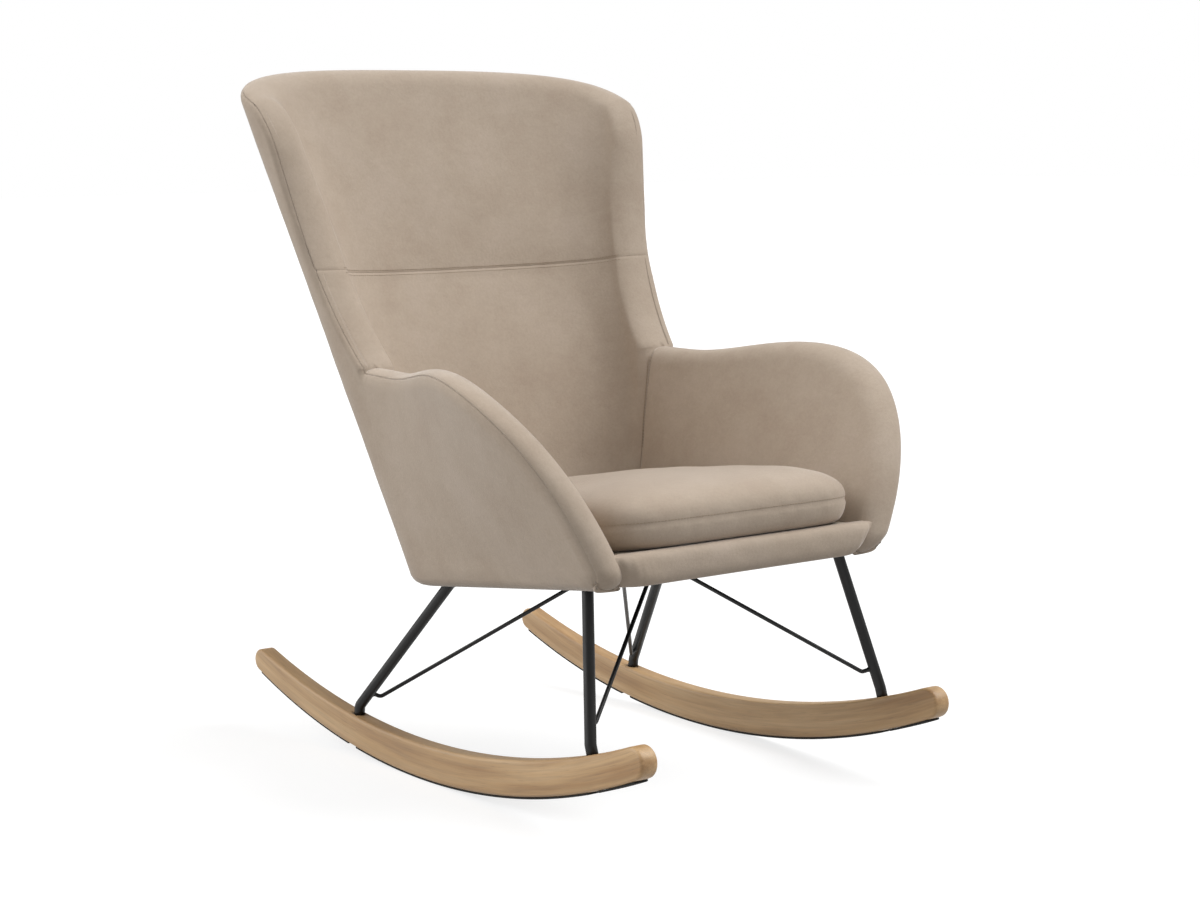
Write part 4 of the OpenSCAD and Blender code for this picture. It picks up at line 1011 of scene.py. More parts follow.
# %% [markdown]
# ## Plates
# Each leg ends in a small steel plate that is bolted up into the seat board, and each pair of
# braces shares one. A box with a Bevel modifier would do. A stack of rounded outlines gives the
# same soft edge with fewer faces, and can be laid on the slope of the seat at once.

# %% Plates
PLATE, BRACE_PLATE = (76.0, 44.0), (64.0, 30.0)
BOLT_APART, SCREW_APART = 13.0, 9.0


def seat_frame(x, y, lift, local):
    """Points of a frame that lies on the seat's slope, as points in the upright frame."""
    local = np.asarray(local, float).reshape(-1, 3)
    c, s = math.cos(TILT), math.sin(TILT)
    return np.stack([x + local[:, 0], y + local[:, 1] * c + local[:, 2] * s,
                     low_z(y) + lift / c - local[:, 1] * s + local[:, 2] * c], 1)


def rounded(width, length, corner):
    """A rectangle with round corners."""
    ring = []
    for cx, cy, a0 in ((1, 1, 0), (-1, 1, 90), (-1, -1, 180), (1, -1, 270)):
        for a in np.radians(a0 + np.linspace(0, 90, 6)):
            ring.append([cx * (width / 2 - corner) + corner * math.cos(a),
                         cy * (length / 2 - corner) + corner * math.sin(a)])
    return np.array(ring)


def plate(width, length):
    """A plate 4 thick with its edges eased."""
    rings = []
    for d, z in ((0.8, 0.0), (0.25, 0.25), (0.0, 0.8), (0.0, 3.2), (0.25, 3.75), (0.8, 4.0)):
        ring = rounded(width - 2 * d, length - 2 * d, 4.0 - d)
        rings.append(np.column_stack([ring, np.full(len(ring), z)]))
    return ring_stack(rings)


def plate_x(spread):
    """Middle of a plate, whose outer end carries the leg."""
    return spread / 2 + TUBE - PLATE[0] / 2


BOLT_PLACES, SCREW_PLACES = [], []
for end, (reach, top_y, spread, meet_y) in LEGS.items():
    for side, sign in SIDES.items():
        local, faces = plate(*PLATE)
        make(f"steel_plate_{end}_{side}", seat_frame(sign * plate_x(spread), top_y, PLATE_UNDER, local),
             faces, BLACK, f"leg_plate_{end}_{side}")
        for s in (-BOLT_APART, BOLT_APART):
            BOLT_PLACES.append((sign * plate_x(spread), top_y + s * math.cos(TILT)))
    local, faces = plate(*BRACE_PLATE)
    make(f"steel_brace_plate_{end}", seat_frame(0.0, meet_y, PLATE_UNDER, local), faces, BLACK,
         f"brace_plate_{end}")
    for s in (-SCREW_APART, SCREW_APART):
        SCREW_PLACES.append((0.0, meet_y + s * math.cos(TILT)))
print(len(BOLT_PLACES), "leg bolts and", len(SCREW_PLACES), "brace screws")

# %% [markdown]
# ## Bolts
# A leg bolt has a domed head with a hexagonal socket. Copies could be placed by hand, but a bolt
# has to point along its own hole. So one bolt is turned from its profile, and Geometry Nodes set it
# on every place and turn it to the axis stored there.

# %% One bolt


def bolt_mesh(name, head, height, shank, length, socket, cylinder=False):
    """A bolt with its head's underside at z 0 and its shank along +z."""
    a = np.linspace(0, 2 * np.pi, 36, endpoint=False)
    hexagon = socket / np.cos((a + np.pi / 6) % (np.pi / 3) - np.pi / 6)
    rounds = ((0.6, 1.0), (0.82, 0.92), (0.95, 0.7), (1.0, 0.35), (1.0, 0.05)) if not cylinder else (
        (0.7, 1.0), (0.93, 1.0), (0.99, 0.96), (1.0, 0.85), (1.0, 0.05))
    rings = [(hexagon * 0.02, -0.45 * height), (hexagon, -0.45 * height), (hexagon, -0.97 * height),
             (hexagon + 0.35, -height)]
    rings += [(head * np.full(36, r), -h * height) for r, h in rounds if head * r > socket * 1.2]
    rings += [(np.full(36, 0.97 * head), 0.0), (np.full(36, shank), 0.0)]
    turns = int(length / 1.6)
    for k in range(turns):
        z = length * (k + 0.5) / turns
        rings += [(np.full(36, shank), z - 0.4), (np.full(36, shank - 0.35), z)]
    rings.append((np.full(36, shank * 0.8), length))
    stack = [np.column_stack([r * np.cos(a), r * np.sin(a), np.full(36, z)]) for r, z in rings]
    points, faces = ring_stack(stack)
    return closed_mesh(name, points * MM, faces)

# %% [markdown]
# ## Setting a shape on places
# The same tree serves bolts, staples and stitches. Its input Size scales the shape, a stored
# attribute turns each copy, and it ends in Realize Instances and Set Material. Instances would be
# lighter, but the export drops them, so the tree is applied and the result is a plain mesh.

# %% Scatter by geometry nodes


def scattered(name, shape, places, look, node=None, body="chair"):
    """Sets a shape on places, each an origin and the direction its z axis takes, by geometry nodes."""
    source = bpy.data.objects.new(name + "_shape", shape)
    bpy.context.scene.collection.objects.link(source)
    points = bpy.data.meshes.new(name)
    points.from_pydata([list(p) for p, _ in places], [], [])
    axis = points.attributes.new("axis", "FLOAT_VECTOR", "POINT")
    axis.data.foreach_set("vector", np.array([list(d) for _, d in places], np.float32).ravel())
    obj = bpy.data.objects.new(name, points)
    bpy.context.scene.collection.objects.link(obj)
    group = bpy.data.node_groups.new(name, "GeometryNodeTree")
    group.interface.new_socket("Geometry", in_out="INPUT", socket_type="NodeSocketGeometry")
    size = group.interface.new_socket("Size", in_out="INPUT", socket_type="NodeSocketFloat")
    group.interface.new_socket("Geometry", in_out="OUTPUT", socket_type="NodeSocketGeometry")
    new, link = group.nodes.new, group.links.new
    start, end = new("NodeGroupInput"), new("NodeGroupOutput")
    info = new("GeometryNodeObjectInfo")
    info.inputs["Object"].default_value = source
    named = new("GeometryNodeInputNamedAttribute")
    named.data_type = "FLOAT_VECTOR"
    named.inputs["Name"].default_value = "axis"
    align = new("FunctionNodeAlignEulerToVector")
    align.axis = "Z"
    link(named.outputs["Attribute"], align.inputs["Vector"])
    spread = new("GeometryNodeInstanceOnPoints")
    link(start.outputs[0], spread.inputs["Points"])
    link(info.outputs["Geometry"], spread.inputs["Instance"])
    link(align.outputs["Rotation"], spread.inputs["Rotation"])
    link(start.outputs["Size"], spread.inputs["Scale"])
    real = new("GeometryNodeRealizeInstances")
    link(spread.outputs["Instances"], real.inputs["Geometry"])
    paint = new("GeometryNodeSetMaterial")
    paint.inputs["Material"].default_value = look
    link(real.outputs["Geometry"], paint.inputs["Geometry"])
    link(paint.outputs["Geometry"], end.inputs[0])
    modifier = obj.modifiers.new("scatter", "NODES")
    modifier.node_group = group
    modifier[size.identifier] = 1.0
    fixed(obj)
    bpy.data.objects.remove(source)
    obj.data.materials.clear()
    obj.data.materials.append(look)
    obj.data.polygons.foreach_set("use_smooth", [True] * len(obj.data.polygons))
    if "axis" in obj.data.attributes:
        obj.data.attributes.remove(obj.data.attributes["axis"])
    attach(obj, body)
    if node:
        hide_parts(node)
    return obj


def sharpened(obj, degrees=35):
    """Keeps hard edges hard on a piece that is shaded smooth."""
    obj.data.set_sharp_from_angle(angle=math.radians(degrees))
    return obj


def under_plates(places):
    """Where bolts sit on the plates, each with the direction square to the seat."""
    up = stand([[0, 0, 0], [0, math.sin(TILT), math.cos(TILT)]])
    return [(stand(seat_frame(x, y, PLATE_UNDER - 0.3, [[0, 0, 0]]))[0], (up[1] - up[0]) / MM)
            for x, y in places]


# The three kinds of bolt
leg_bolt = bolt_mesh("bolt", head=6.0, height=3.0, shank=3.0, length=19.0, socket=2.1)
sharpened(scattered("leg_bolts_black", leg_bolt, under_plates(BOLT_PLACES), BOLT,
                    "leg_bolts"))
brace_screw = bolt_mesh("screw", head=4.8, height=2.0, shank=2.0, length=12.0, socket=1.5)
sharpened(scattered("brace_screws_black", brace_screw, under_plates(SCREW_PLACES), BOLT,
                    "brace_screws"))
foot_bolts = []
for sign in SIDES.values():
    for reach in FEET:
        a = foot_angle(reach)
        ends = stand([[sign * SPACING / 2, *down(a, r)] for r in (BOARD_OUT - 8.7, BOARD_OUT - 9.7)])
        foot_bolts.append((ends[0], (ends[1] - ends[0]) / MM))
foot_bolt = bolt_mesh("foot_bolt", head=6.0, height=4.8, shank=3.0, length=51.0, socket=2.6, cylinder=True)
sharpened(scattered("foot_bolts_black", foot_bolt, foot_bolts, BOLT, "foot_bolts"))
print("foot bolts:", len(foot_bolts))

# %% [markdown]
# ## Inner arms
# The inner cover of an arm lines its inside, rolls round the rim and ends at a seam on the outer
# side. A cloth simulation could drape it, but a tight cover over foam can only follow its pad. So
# a grid is laid over the shell's map: columns run up from the seat to the outline, and extra rows
# follow the roll to the seam. Seams, puckers and folds are small sums on top.

# %% Inner arms
COLUMNS = np.concatenate([np.linspace(0, 0.09, 12)[:-1], np.linspace(0.09, 0.985, 112),
                          [0.989, 0.993, 0.997, 1.0]])
NEAR_RIM = 44.0                # the rows lie closer together from here to the rim
ROLL_NEAR = np.concatenate([[NEAR_RIM, 38.0, 32.0], ROLL_IN[::-1]])
FAN = 0.06                     # share of the columns that fan out round the lower corner
FOOT_INNER, FOOT_OUTER = -425.0, -420.9
PAD_WALL, COVER_WALL = 9.0, 2.5


def along_rim(t):
    """Crowds the columns' feet towards the front."""
    return np.clip(t, 0, 1) ** 1.15


def arm_columns(base, target_in):
    """Places in side view: rows from the seat's edge to a line inside the outline."""
    t = COLUMNS
    inner = base > 0
    start = FOOT_INNER if inner else FOOT_OUTER
    foot_y = mix(start, split_y(LOW + base) - 0.8, along_rim(np.clip((t - FAN) / (1 - FAN), 0, 1)) ** 2)
    lower = 12.0 * np.clip(1 - t / FAN, 0, 1) * inner
    foot = np.stack([foot_y, low_z(foot_y) + base - lower], -1)
    head = inset(t, np.full(len(t), target_in))
    length = np.linalg.norm(head - foot, axis=1)
    near = np.clip((ROLL_NEAR - target_in) / NEAR_RIM, 0, 1)
    near = near[np.concatenate([[True], np.diff(near) < -1e-6])]
    crest = 1 - np.minimum(NEAR_RIM, 0.55 * length) / length
    rows = [np.linspace(0, 1, 15)[:-1][:, None] * crest[None]]
    rows.append(1 - (1 - crest)[None] * near[:, None])
    share = np.concatenate(rows)
    places = foot[None] + share[..., None] * (head - foot)[None]
    return places[..., 0], places[..., 1], t, foot, head, share


def seam_pull(distance, deep=2.2, narrow=3.0, wide=14.0):
    """How far a seam draws the cloth in, at a distance from it."""
    d = np.abs(distance)
    return deep * np.exp(-(d / narrow) ** 2) + 0.8 * deep * np.exp(-(d / wide) ** 2)


def notch_folds(y, z):
    """Small folds that fan out from the notch, where the cloth turns two ways."""
    dy, dz = y - NOTCH_Y, z - NOTCH
    far = np.hypot(dy, dz)
    return 1.5 * np.exp(-far / 26) * np.sin(5 * np.arctan2(dz, -dy) + 0.6) * smooth(far / 10)


def inner_arm(y, z):
    """Half thickness towards the sitter."""
    d = arm_rim(y, z)
    pull = seam_pull(split_y(z) - y, 1.6, 2.8, 12.0) * smooth(d / 14)
    puff = 2.5 * smooth((d - 10) / 80) * (1 + 0.25 * wander(y, z, seed=3, size=90))
    return -(rim_half(d) + puff - pull + notch_folds(y, z) * smooth(d / 6))


def arm_wrap(t):
    """Rows that carry the inner cover over the rim to the seam on the outer side."""
    rows = []
    for d, out in zip(WRAP_IN, WRAP_OUT):
        p = inset(t, np.full(len(t), d))
        rows.append(skin(p[:, 0], p[:, 1], out))
    return rows


for side, sign in SIDES.items():
    y, z, t, _, _, _ = arm_columns(BOARD_TOP + 0.3, 0.0)
    inner = skin(y, z, inner_arm(y, z))
    grid = np.concatenate([inner, np.array(arm_wrap(t))])
    deep = skin(*inset(t, np.full(len(t), 12.0)).T, 0.0)
    core = np.concatenate([skin(y, z, np.zeros_like(y)), np.array([deep] * len(WRAP_IN))])
    grid[..., 0] *= sign
    core[..., 0] *= sign
    rows, cols = grid.shape[:2]
    panel = make(f"inner_arm_{side}", grid, grid_faces(rows, cols), VELVET, f"arm_pad_{side}",
                 inside=core, thick=PAD_WALL)
print("inner arms:", rows, "x", cols, "points each")

# %% [markdown]
# ## Inner back
# Two panels, joined by a cross seam. Both roll round the wings' front edges; the upper one rolls
# over the top as well. At the notch the rolled edge turns through a small fan. A subdivided cage
# would be softer to edit, but its surface would drift away from the solid pads it stands for.

# %% Inner back
EDGES = np.concatenate([ROLL_IN, np.arange(31, 106, 5.0), np.linspace(112, GIRTH, 26)])
SIDES_HALF = 1 - EDGES / GIRTH
SIDE_COLUMNS = np.concatenate([SIDES_HALF, -SIDES_HALF[::-1][1:]])
SEAM_STEPS = np.array([0, 0.7, 1.6, 2.8, 4.4, 6.6, 9.5, 13, 18, 25, 34])
LOW_BELLY, HIGH_BELLY, CHEEK = 7.0, 5.0, 10.0


def inner_back(side, z, low):
    """Half thickness towards the sitter, with the belly of the padding and its seams."""
    d = back_rim(side, z)
    edge = (1 - np.abs(side)) * GIRTH
    cross = z - seam_z(side)
    pull = seam_pull(cross, 1.0, 2.2, 17.0) * smooth(d / 20)
    pull = pull + np.where(z < NOTCH, seam_pull(edge, 1.6, 2.8, 12.0) * smooth((NOTCH - z) / 14), 0)
    t = np.clip((z - 420) / (694 - 420), 0, 1) if low else np.clip(cross / 290, 0, 1)
    belly = (LOW_BELLY if low else HIGH_BELLY) * np.sin(np.pi * t) ** 0.8 * smooth(edge / 130)
    belly = belly + 1.2 * wander(side * 380, z, seed=5, size=120) * smooth(edge / 60) * smooth(d / 40)
    # The padding is full behind a wing's rolled edge and thins out towards the back
    cheek = smooth(edge / 36) * (1 - smooth((edge - 24) / 200)) * smooth((crown_z(side) - z - 5) / 160)
    belly = belly + CHEEK * cheek * mix(0.2, 1.0, smooth((z - 430) / 190))
    return -(rim_half(d) + belly - pull)

# %% [markdown]
# ## The rolled edge of the wings
# Beyond the rim the panels carry on round the roll to the seam on the outer side. The rows could be
# extruded by hand from the border. Here each border place knows its own way in, also round the
# corner at the top of a wing, so the new rows stay even.

# %% Rows round the rim


def wing_wrap(side, z, fan=None):
    """The rolled edge beyond the rim for places on it; fan turns the first ones at the notch."""
    edge = (1 - np.abs(side)) * GIRTH
    angle = np.arccos(np.clip(1 - edge / CORNER, 0, 1))
    on_side = (edge < 1e-6) & (z < crown_z(side) - CORNER + 1e-6)
    on_corner = (edge < CORNER) & ~on_side
    rows = []
    for d, out in zip(WRAP_IN, WRAP_OUT):
        e = np.where(on_side, d, np.where(on_corner, CORNER - (CORNER - d) * np.cos(angle), edge))
        s = np.sign(side) * (1 - e / GIRTH)
        s = np.where(side == 0, 0, s)
        drop = np.where(on_corner, CORNER - (CORNER - d) * np.sin(angle), d)
        zz = np.where(on_side, z, crown_z(s) - drop * math.cos(RECLINE))
        if fan is not None:
            plain, turn = np.isnan(fan), np.nan_to_num(fan)
            s = np.where(plain, s, np.sign(side) * (1 - d * np.cos(turn) / GIRTH))
            zz = np.where(plain, zz, NOTCH - d * np.sin(turn))
        rows.append(back(s, zz, out))
    return np.array(rows)


def top_z(side):
    """Height of the rim above a place along the girth, with the wings' round corners."""
    edge = (1 - np.abs(side)) * GIRTH
    drop = CORNER * (1 - np.sqrt(np.clip(1 - (1 - np.minimum(edge, CORNER) / CORNER) ** 2, 0, 1)))
    return crown_z(side) - drop * math.cos(RECLINE)


def crease(points, side, z, weight):
    """Draws the rolled edge in where the cross seam runs over a wing."""
    depth = 1.1 * np.exp(-((z - seam_z(side)) / 2.2) ** 2) * weight
    aim = back(np.sign(side) * (1 - 22.0 / GIRTH), z, 0.0) - points
    return points + depth[..., None] * aim / np.linalg.norm(aim, axis=-1, keepdims=True)

# %% [markdown]
# ## A back panel
# A panel is its grid of heights plus the rows that continue its border. Both could be separate
# pieces that are joined later. Sharing the border places from the start leaves no crack between
# them.

# %% Back panels


def strip_faces(strip):
    """Faces between a run of existing points and the new rows that continue it."""
    rows, cols = len(strip), len(strip[0])
    return [[strip[i][j], strip[i][j + 1], strip[i + 1][j + 1], strip[i + 1][j]]
            for i in range(rows - 1) for j in range(cols - 1)]


def back_panel(name, z, low, node):
    """A panel from its grid of heights, with the rolled edges that its side and top rows need."""
    side = np.broadcast_to(SIDE_COLUMNS, z.shape)
    rows, cols = z.shape
    grid = back(side, z, inner_back(side, z, low))
    grid = crease(grid, side, z, 1 - smooth(back_rim(side, z) / 20)).reshape(-1, 3)
    core = back(side, z, np.zeros_like(z)).reshape(-1, 3)
    points, inside, faces = [grid], [core], grid_faces(rows, cols)
    count = len(grid)

    def add_wrap(ids, s, zz, fan=None):
        nonlocal count
        wrap = crease(wing_wrap(s, zz, fan), s, zz, np.ones_like(zz))
        behind = np.broadcast_to(core[ids], wrap.shape)
        table = [list(ids)]
        for _ in wrap:
            table.append(list(range(count, count + len(ids))))
            count += len(ids)
        points.append(wrap.reshape(-1, 3))
        inside.append(behind.reshape(-1, 3))
        faces.extend(strip_faces(table))

    if low:
        for column, sgn in ((0, 1.0), (cols - 1, -1.0)):
            i = np.arange(rows)[z[:, column] >= NOTCH - 0.2]
            ids, zz = i * cols + column, z[i, column]
            turns = np.radians([90, 72, 54, 36, 18])
            ids = np.concatenate([[ids[0]] * len(turns), ids])
            zz = np.concatenate([[NOTCH] * len(turns), zz])
            fan = np.concatenate([turns, np.full(len(i), np.nan)])
            add_wrap(ids, np.full(len(ids), sgn), zz, fan)
    else:
        left = np.arange(rows) * cols
        top = (rows - 1) * cols + np.arange(1, cols - 1)
        right = (np.arange(rows) * cols + cols - 1)[::-1]
        ids = np.concatenate([left, top, right])
        s = np.concatenate([np.full(rows, 1.0), SIDE_COLUMNS[1:-1], np.full(rows, -1.0)])
        zz = np.concatenate([z[:, 0], z[-1, 1:-1], z[::-1, -1]])
        add_wrap(ids, s, zz)
    points, inside = np.concatenate(points), np.concatenate(inside)
    panel = make(name, points, faces, VELVET, node, inside=inside, thick=PAD_WALL)
    return panel


base = back_low(SIDE_COLUMNS, BOARD_TOP + 0.3)
seam = seam_z(SIDE_COLUMNS)
edge_base, edge_seam = base[0], seam[0]
notch_share = (NOTCH - edge_base) / (edge_seam - edge_base)
span = edge_seam - edge_base
near_notch = notch_share - np.concatenate([[36, 30], ROLL_IN[::-1][1:-1]]) / span
below = np.linspace(0, near_notch[0], 24)[:-1]
above = np.linspace(notch_share, 1 - 34 / span, 14)[1:-1]
shares = np.concatenate([below, near_notch, [notch_share], above, 1 - SEAM_STEPS[::-1] / span])
lower_z = base[None] + shares[:, None] * (seam - base)[None]
back_panel("inner_back_low", lower_z, True, "inner_back_lower")

top = top_z(SIDE_COLUMNS)
length = (top - seam)[None]
near_top = np.concatenate([[40.0, 33.0], ROLL_IN[::-1]])[:, None] * math.cos(RECLINE)
rise = np.minimum(SEAM_STEPS[:, None], 0.3 * length)
crest_rows = length - np.minimum(near_top, 0.5 * length * near_top / near_top[0])
share = np.linspace(0, 1, 26)[1:-1][:, None]
upper = np.concatenate([rise, mix(rise[-1:], crest_rows[:1], share), crest_rows])
upper_z = seam[None] + upper
back_panel("inner_back_high", upper_z, False, "inner_back_upper")
print("inner back:", lower_z.shape, "and", upper_z.shape, "points")

# %% [markdown]
# ## Outer cover
# One cover wraps the outside from arm to arm without a seam between arm and back. It begins at the
# seam on the rolled rim, and its lower edge rolls under the seat. Shrinkwrapping a sheet would
# bring it near the shell, but the sheet's rows would slip across the notch. Here the rows of the
# arm and of the back are laid out to meet on one line.

# %% Outer cover
LIP = np.radians([0, 20, 40, 60, 78, 90])
LIP_ROLL = 14.0


def outer_out(d):
    """Half thickness outwards; the seam draws the cloth in a little."""
    return rim_half(d) - 1.0 * np.exp(-((d - SEAM_IN) / 1.6) ** 2)


def swell(d, across, z):
    """The cover stands off a little where nothing draws it in."""
    return 2.0 * smooth((d - 20) / 90) * (0.4 + 0.3 * wander(across, z, seed=9, size=110))


def under_edge(points_at, out_full, length, foot_out=10.0):
    """Rows of the lower lip: down round its roll and a little way up inside."""
    roll = np.minimum(LIP_ROLL, 0.3 * length)
    foot_out = np.minimum(foot_out, 0.5 * out_full)
    rows = [points_at(np.minimum(6.0, 0.25 * length), foot_out - 1.6)]
    rows += [points_at(roll * (1 - math.sin(a)), mix(foot_out, out_full, math.cos(a) ** 0.9))
             for a in LIP[::-1]]
    return rows


def outer_arm():
    """Rows of the cover over an arm, and their heights on the line where the back begins."""
    y, z, t, foot, head, share = arm_columns(0.0, SEAM_IN)
    length = np.linalg.norm(head - foot, axis=1)
    way = (head - foot) / length[:, None]
    roll = np.minimum(LIP_ROLL, 0.3 * length) / length
    share = roll[None] + share * (1 - roll)[None]
    places = foot[None] + share[..., None] * (head - foot)[None]
    y, z = places[..., 0], places[..., 1]
    d = np.maximum(arm_rim(y, z), SEAM_IN)
    d[-1] = SEAM_IN
    out = outer_out(d)
    upper = skin(y, z, out + swell(d, y, z))
    lip = under_edge(lambda rise, o: skin(foot[:, 0] + way[:, 0] * rise, foot[:, 1] + way[:, 1] * rise, o),
                     out[0], length, mix(-16.0, 10.0, smooth(t / 0.14)))
    return np.concatenate([np.array(lip[:-1]), upper]), z[:, -1]


arm_grid, split_heights = outer_arm()
lip_rows = len(LIP)
arc = np.radians([72, 54, 36, 18, 0])
low_heights = np.concatenate([split_heights, NOTCH - SEAM_IN * np.sin(arc)])
corner_z = crown_z(1.0) - CORNER * math.cos(RECLINE)
rest = np.linspace(NOTCH, corner_z - 40, 46)[1:]
close = corner_z - np.concatenate([[33.0, 27.0], ROLL_IN[::-1][1:]])
column_z = np.concatenate([low_heights, rest, close])
column_z[-1] = corner_z
OUTER_EDGES = np.concatenate([[0, 1.2, 3, 5.5, 9, 13, 18, 24, 31, 40, 50, 62, 75, 90],
                              np.linspace(105, GIRTH, 26)])

# %% [markdown]
# ## The back part of the cover
# Its first column is the last one of the arm, so that the cover has no seam there. It could be
# modelled across in one go, but arm and back are drawn in different ways, one in side view and one
# along the girth. The rows change from the slope of the seat to the curve of the crown.

# %% Back part of the cover


def outer_edge(e, z):
    """Distance along the girth: ahead of the notch the first column lies on the split line, above
    it on the seam."""
    round_notch = np.sqrt(np.clip(SEAM_IN ** 2 - (NOTCH - z) ** 2, 0, None))
    first = np.where(z < NOTCH - SEAM_IN, 0.0, np.where(z < NOTCH, round_notch, SEAM_IN))
    return e + first * (1 - e / GIRTH)


def outer_top(e):
    """Height of the seam along the top, for a distance along the girth."""
    cos_a = np.clip((CORNER - e) / (CORNER - SEAM_IN), 0, 1)
    s = 1 - e / GIRTH
    drop = np.where(e < CORNER, CORNER - (CORNER - SEAM_IN) * np.sqrt(1 - cos_a ** 2), SEAM_IN)
    return crown_z(s) - drop * math.cos(RECLINE)


def outer_back_half():
    """Rows of the cover over the left half of the back, whose first column joins the arm's last."""
    e_top = outer_edge(OUTER_EDGES, np.full(len(OUTER_EDGES), TOP))
    high = outer_top(e_top)
    foot = back_low(1 - OUTER_EDGES / GIRTH, 0.0)
    # Below the wings the rows follow the seat's slope, above them the crown
    low_part = 1 - smooth((column_z - column_z[0]) / (NOTCH + 30 - column_z[0]))
    high_part = np.clip((column_z - NOTCH - 30) / (column_z[-1] - NOTCH - 30), 0, 1) ** 1.6
    z = (column_z[:, None] + low_part[:, None] * (foot - foot[0])[None]
         + high_part[:, None] * (high - column_z[-1])[None])
    e = outer_edge(OUTER_EDGES[None], column_z[:, None])
    side = 1 - e / GIRTH
    d = np.maximum(back_rim(side, z), SEAM_IN)
    inner_rows = z[:, 0] < NOTCH - SEAM_IN
    d = np.where(inner_rows[:, None] & (e < 30), np.maximum(np.hypot(e, NOTCH - z), SEAM_IN), d)
    upper = back(side, z, outer_out(d) + swell(d, e, z) * smooth(e / 60))
    side_foot = 1 - OUTER_EDGES / GIRTH
    lip = under_edge(lambda rise, o: back(side_foot, foot + rise, o), outer_out(d)[0],
                     np.full(len(foot), 300.0))
    return np.concatenate([np.array(lip[:-1]), upper])


# %% [markdown]
# ## The cover in one piece
# The halves are mirrored and joined where they share a column. A Mirror modifier would do for the
# halves, but not for the join between arm and back, whose places are doubled and then welded.

# %% Whole cover
half = outer_back_half()
shared = lip_rows + len(split_heights)
arm_grid[:, -1] = half[:shared, 0]
points, inside, faces = [], [], []
for sign in (1, -1):
    for grid in (arm_grid, half):
        g = grid.copy()
        g[..., 0] *= sign
        start = sum(len(p) for p in points)
        points.append(g.reshape(-1, 3))
        quads = np.array(grid_faces(*g.shape[:2], start=start))
        # The mirrored half, and the back next to the arm, keep one common direction
        turn = (sign < 0) != (grid is half)
        faces += (quads[:, ::-1] if turn else quads).tolist()
        middle = g.reshape(-1, 3).copy()
        middle[:, 0] *= 0.5
        middle[:, 1] = mix(middle[:, 1], -60.0 + 0.35 * (middle[:, 2] - LOW), 0.5)
        inside.append(middle)
cover = make("outer_cover", np.concatenate(points), faces, VELVET,
             ("outer_back_cover", "arm_cover_left", "arm_cover_right"),
             inside=np.concatenate(inside), thick=COVER_WALL)
print("outer cover:", len(cover.data.polygons), "faces")

# %% [markdown]
# ## Deck and dust cloth
# The deck is a thin pad under the cushion, and a black cloth closes the underside. Flat planes cut
# to shape would leave gaps where the shell bends, so a ring that follows the shell's maps gives the
# outline of each.

# %% Seat ring


SEAT_STEPS = 40
SEAT_MIDDLE = -130.0           # reach of the middle of the seat


def seat_ring(base, out, front_y):
    """Outline of the seat at a height above the covers' lower edge."""
    half = []
    for i in range(SEAT_STEPS + 1):
        t = i / SEAT_STEPS
        if t < 0.5:
            y = mix(front_y, float(hip_y(LOW + base)), 2 * t)
            half.append(skin(y, low_z(y) + base, out).ravel())
        else:
            turn = mix(0.0, 90.0, 2 * t - 1)
            z = LOW + base
            for _ in range(3):
                z = float(low_z(tub(turn, z, out)[..., 1]) + base)
            half.append(tub(turn, z, out).ravel())
    half = np.array(half)
    other = half[-2::-1] * [-1, 1, 1]
    return np.concatenate([half, other])


def shrunk(ring, share, height):
    """A ring drawn in towards the middle, laid at a height above the covers' lower edge."""
    p = ring.copy()
    p[:, 0] *= share
    p[:, 1] = SEAT_MIDDLE + (p[:, 1] - SEAT_MIDDLE) * share
    p[:, 2] = low_z(p[:, 1]) + height
    return p


def front_edge(ring):
    """Closes a ring along its straight front with evenly spaced points."""
    a, b = ring[-1], ring[0]
    return np.concatenate([ring, [mix(a, b, t) for t in np.linspace(0, 1, 25)[1:-1]]])


deck_ring = front_edge(seat_ring(BOARD_TOP + 0.4, -HALF - 1.2, RAIL - FRONT + 1.2))
deck_rings = [shrunk(deck_ring, 0.6, BOARD_TOP + 0.4), shrunk(deck_ring, 0.985, BOARD_TOP + 0.4)]
for share, high in ((0.995, BOARD_TOP + 3), (1.0, BOARD_TOP + 8), (1.0, DECK_TOP - 9),
                    (0.992, DECK_TOP - 4), (0.975, DECK_TOP - 1.4), (0.95, DECK_TOP - 0.4)):
    deck_rings.append(shrunk(deck_ring, share, high))
deck_rings += [shrunk(deck_ring, share, DECK_TOP - 0.1) for share in (0.8, 0.55, 0.3, 0.08)]
points, faces = ring_stack(deck_rings)
deck = make("deck_pad", points, faces, LINING, "seat_deck")
print("deck:", len(deck.data.polygons), "faces")

dust_ring = front_edge(seat_ring(7.0, 6.0, RAIL - FRONT + 4.0))
dust_rings = [shrunk(dust_ring, s, 7.3 - 1.6 * (1 - s) * (1 if s > 0.5 else 0.9)) for s in
              (0.998, 0.99, 0.97, 0.93, 0.85, 0.72, 0.56, 0.38, 0.2, 0.06)]
points, faces = ring_stack(dust_rings, cap_first=False)
up = points + [0, 0, 20]
dust = make("dust_cloth", points, faces, BLACK_CLOTH, "dust_cover", inside=up)
spread = sum(p.area for p in dust.data.polygons)
thickened(dust, 0.5)
print("dust cloth:", round(spread, 3), "square metres")

# %% [markdown]
# ## Staples
# A row of wire staples holds the dust cloth near its edge. Staples painted in the material would be
# flat and missing from the mesh. Like the bolts they are one shape, set on a line of places.

# %% Staples along the dust cloth
STAPLE_WIRE = [[-5, 0, 0.4], [-4.6, 0, -0.35], [0, 0, -0.5], [4.6, 0, -0.35], [5, 0, 0.4]]
staple = bpy.data.meshes.new("staple")
points, faces = ring_stack(sweep(STAPLE_WIRE, 0.45, 8))
staple.from_pydata((points * MM).tolist(), [], faces)


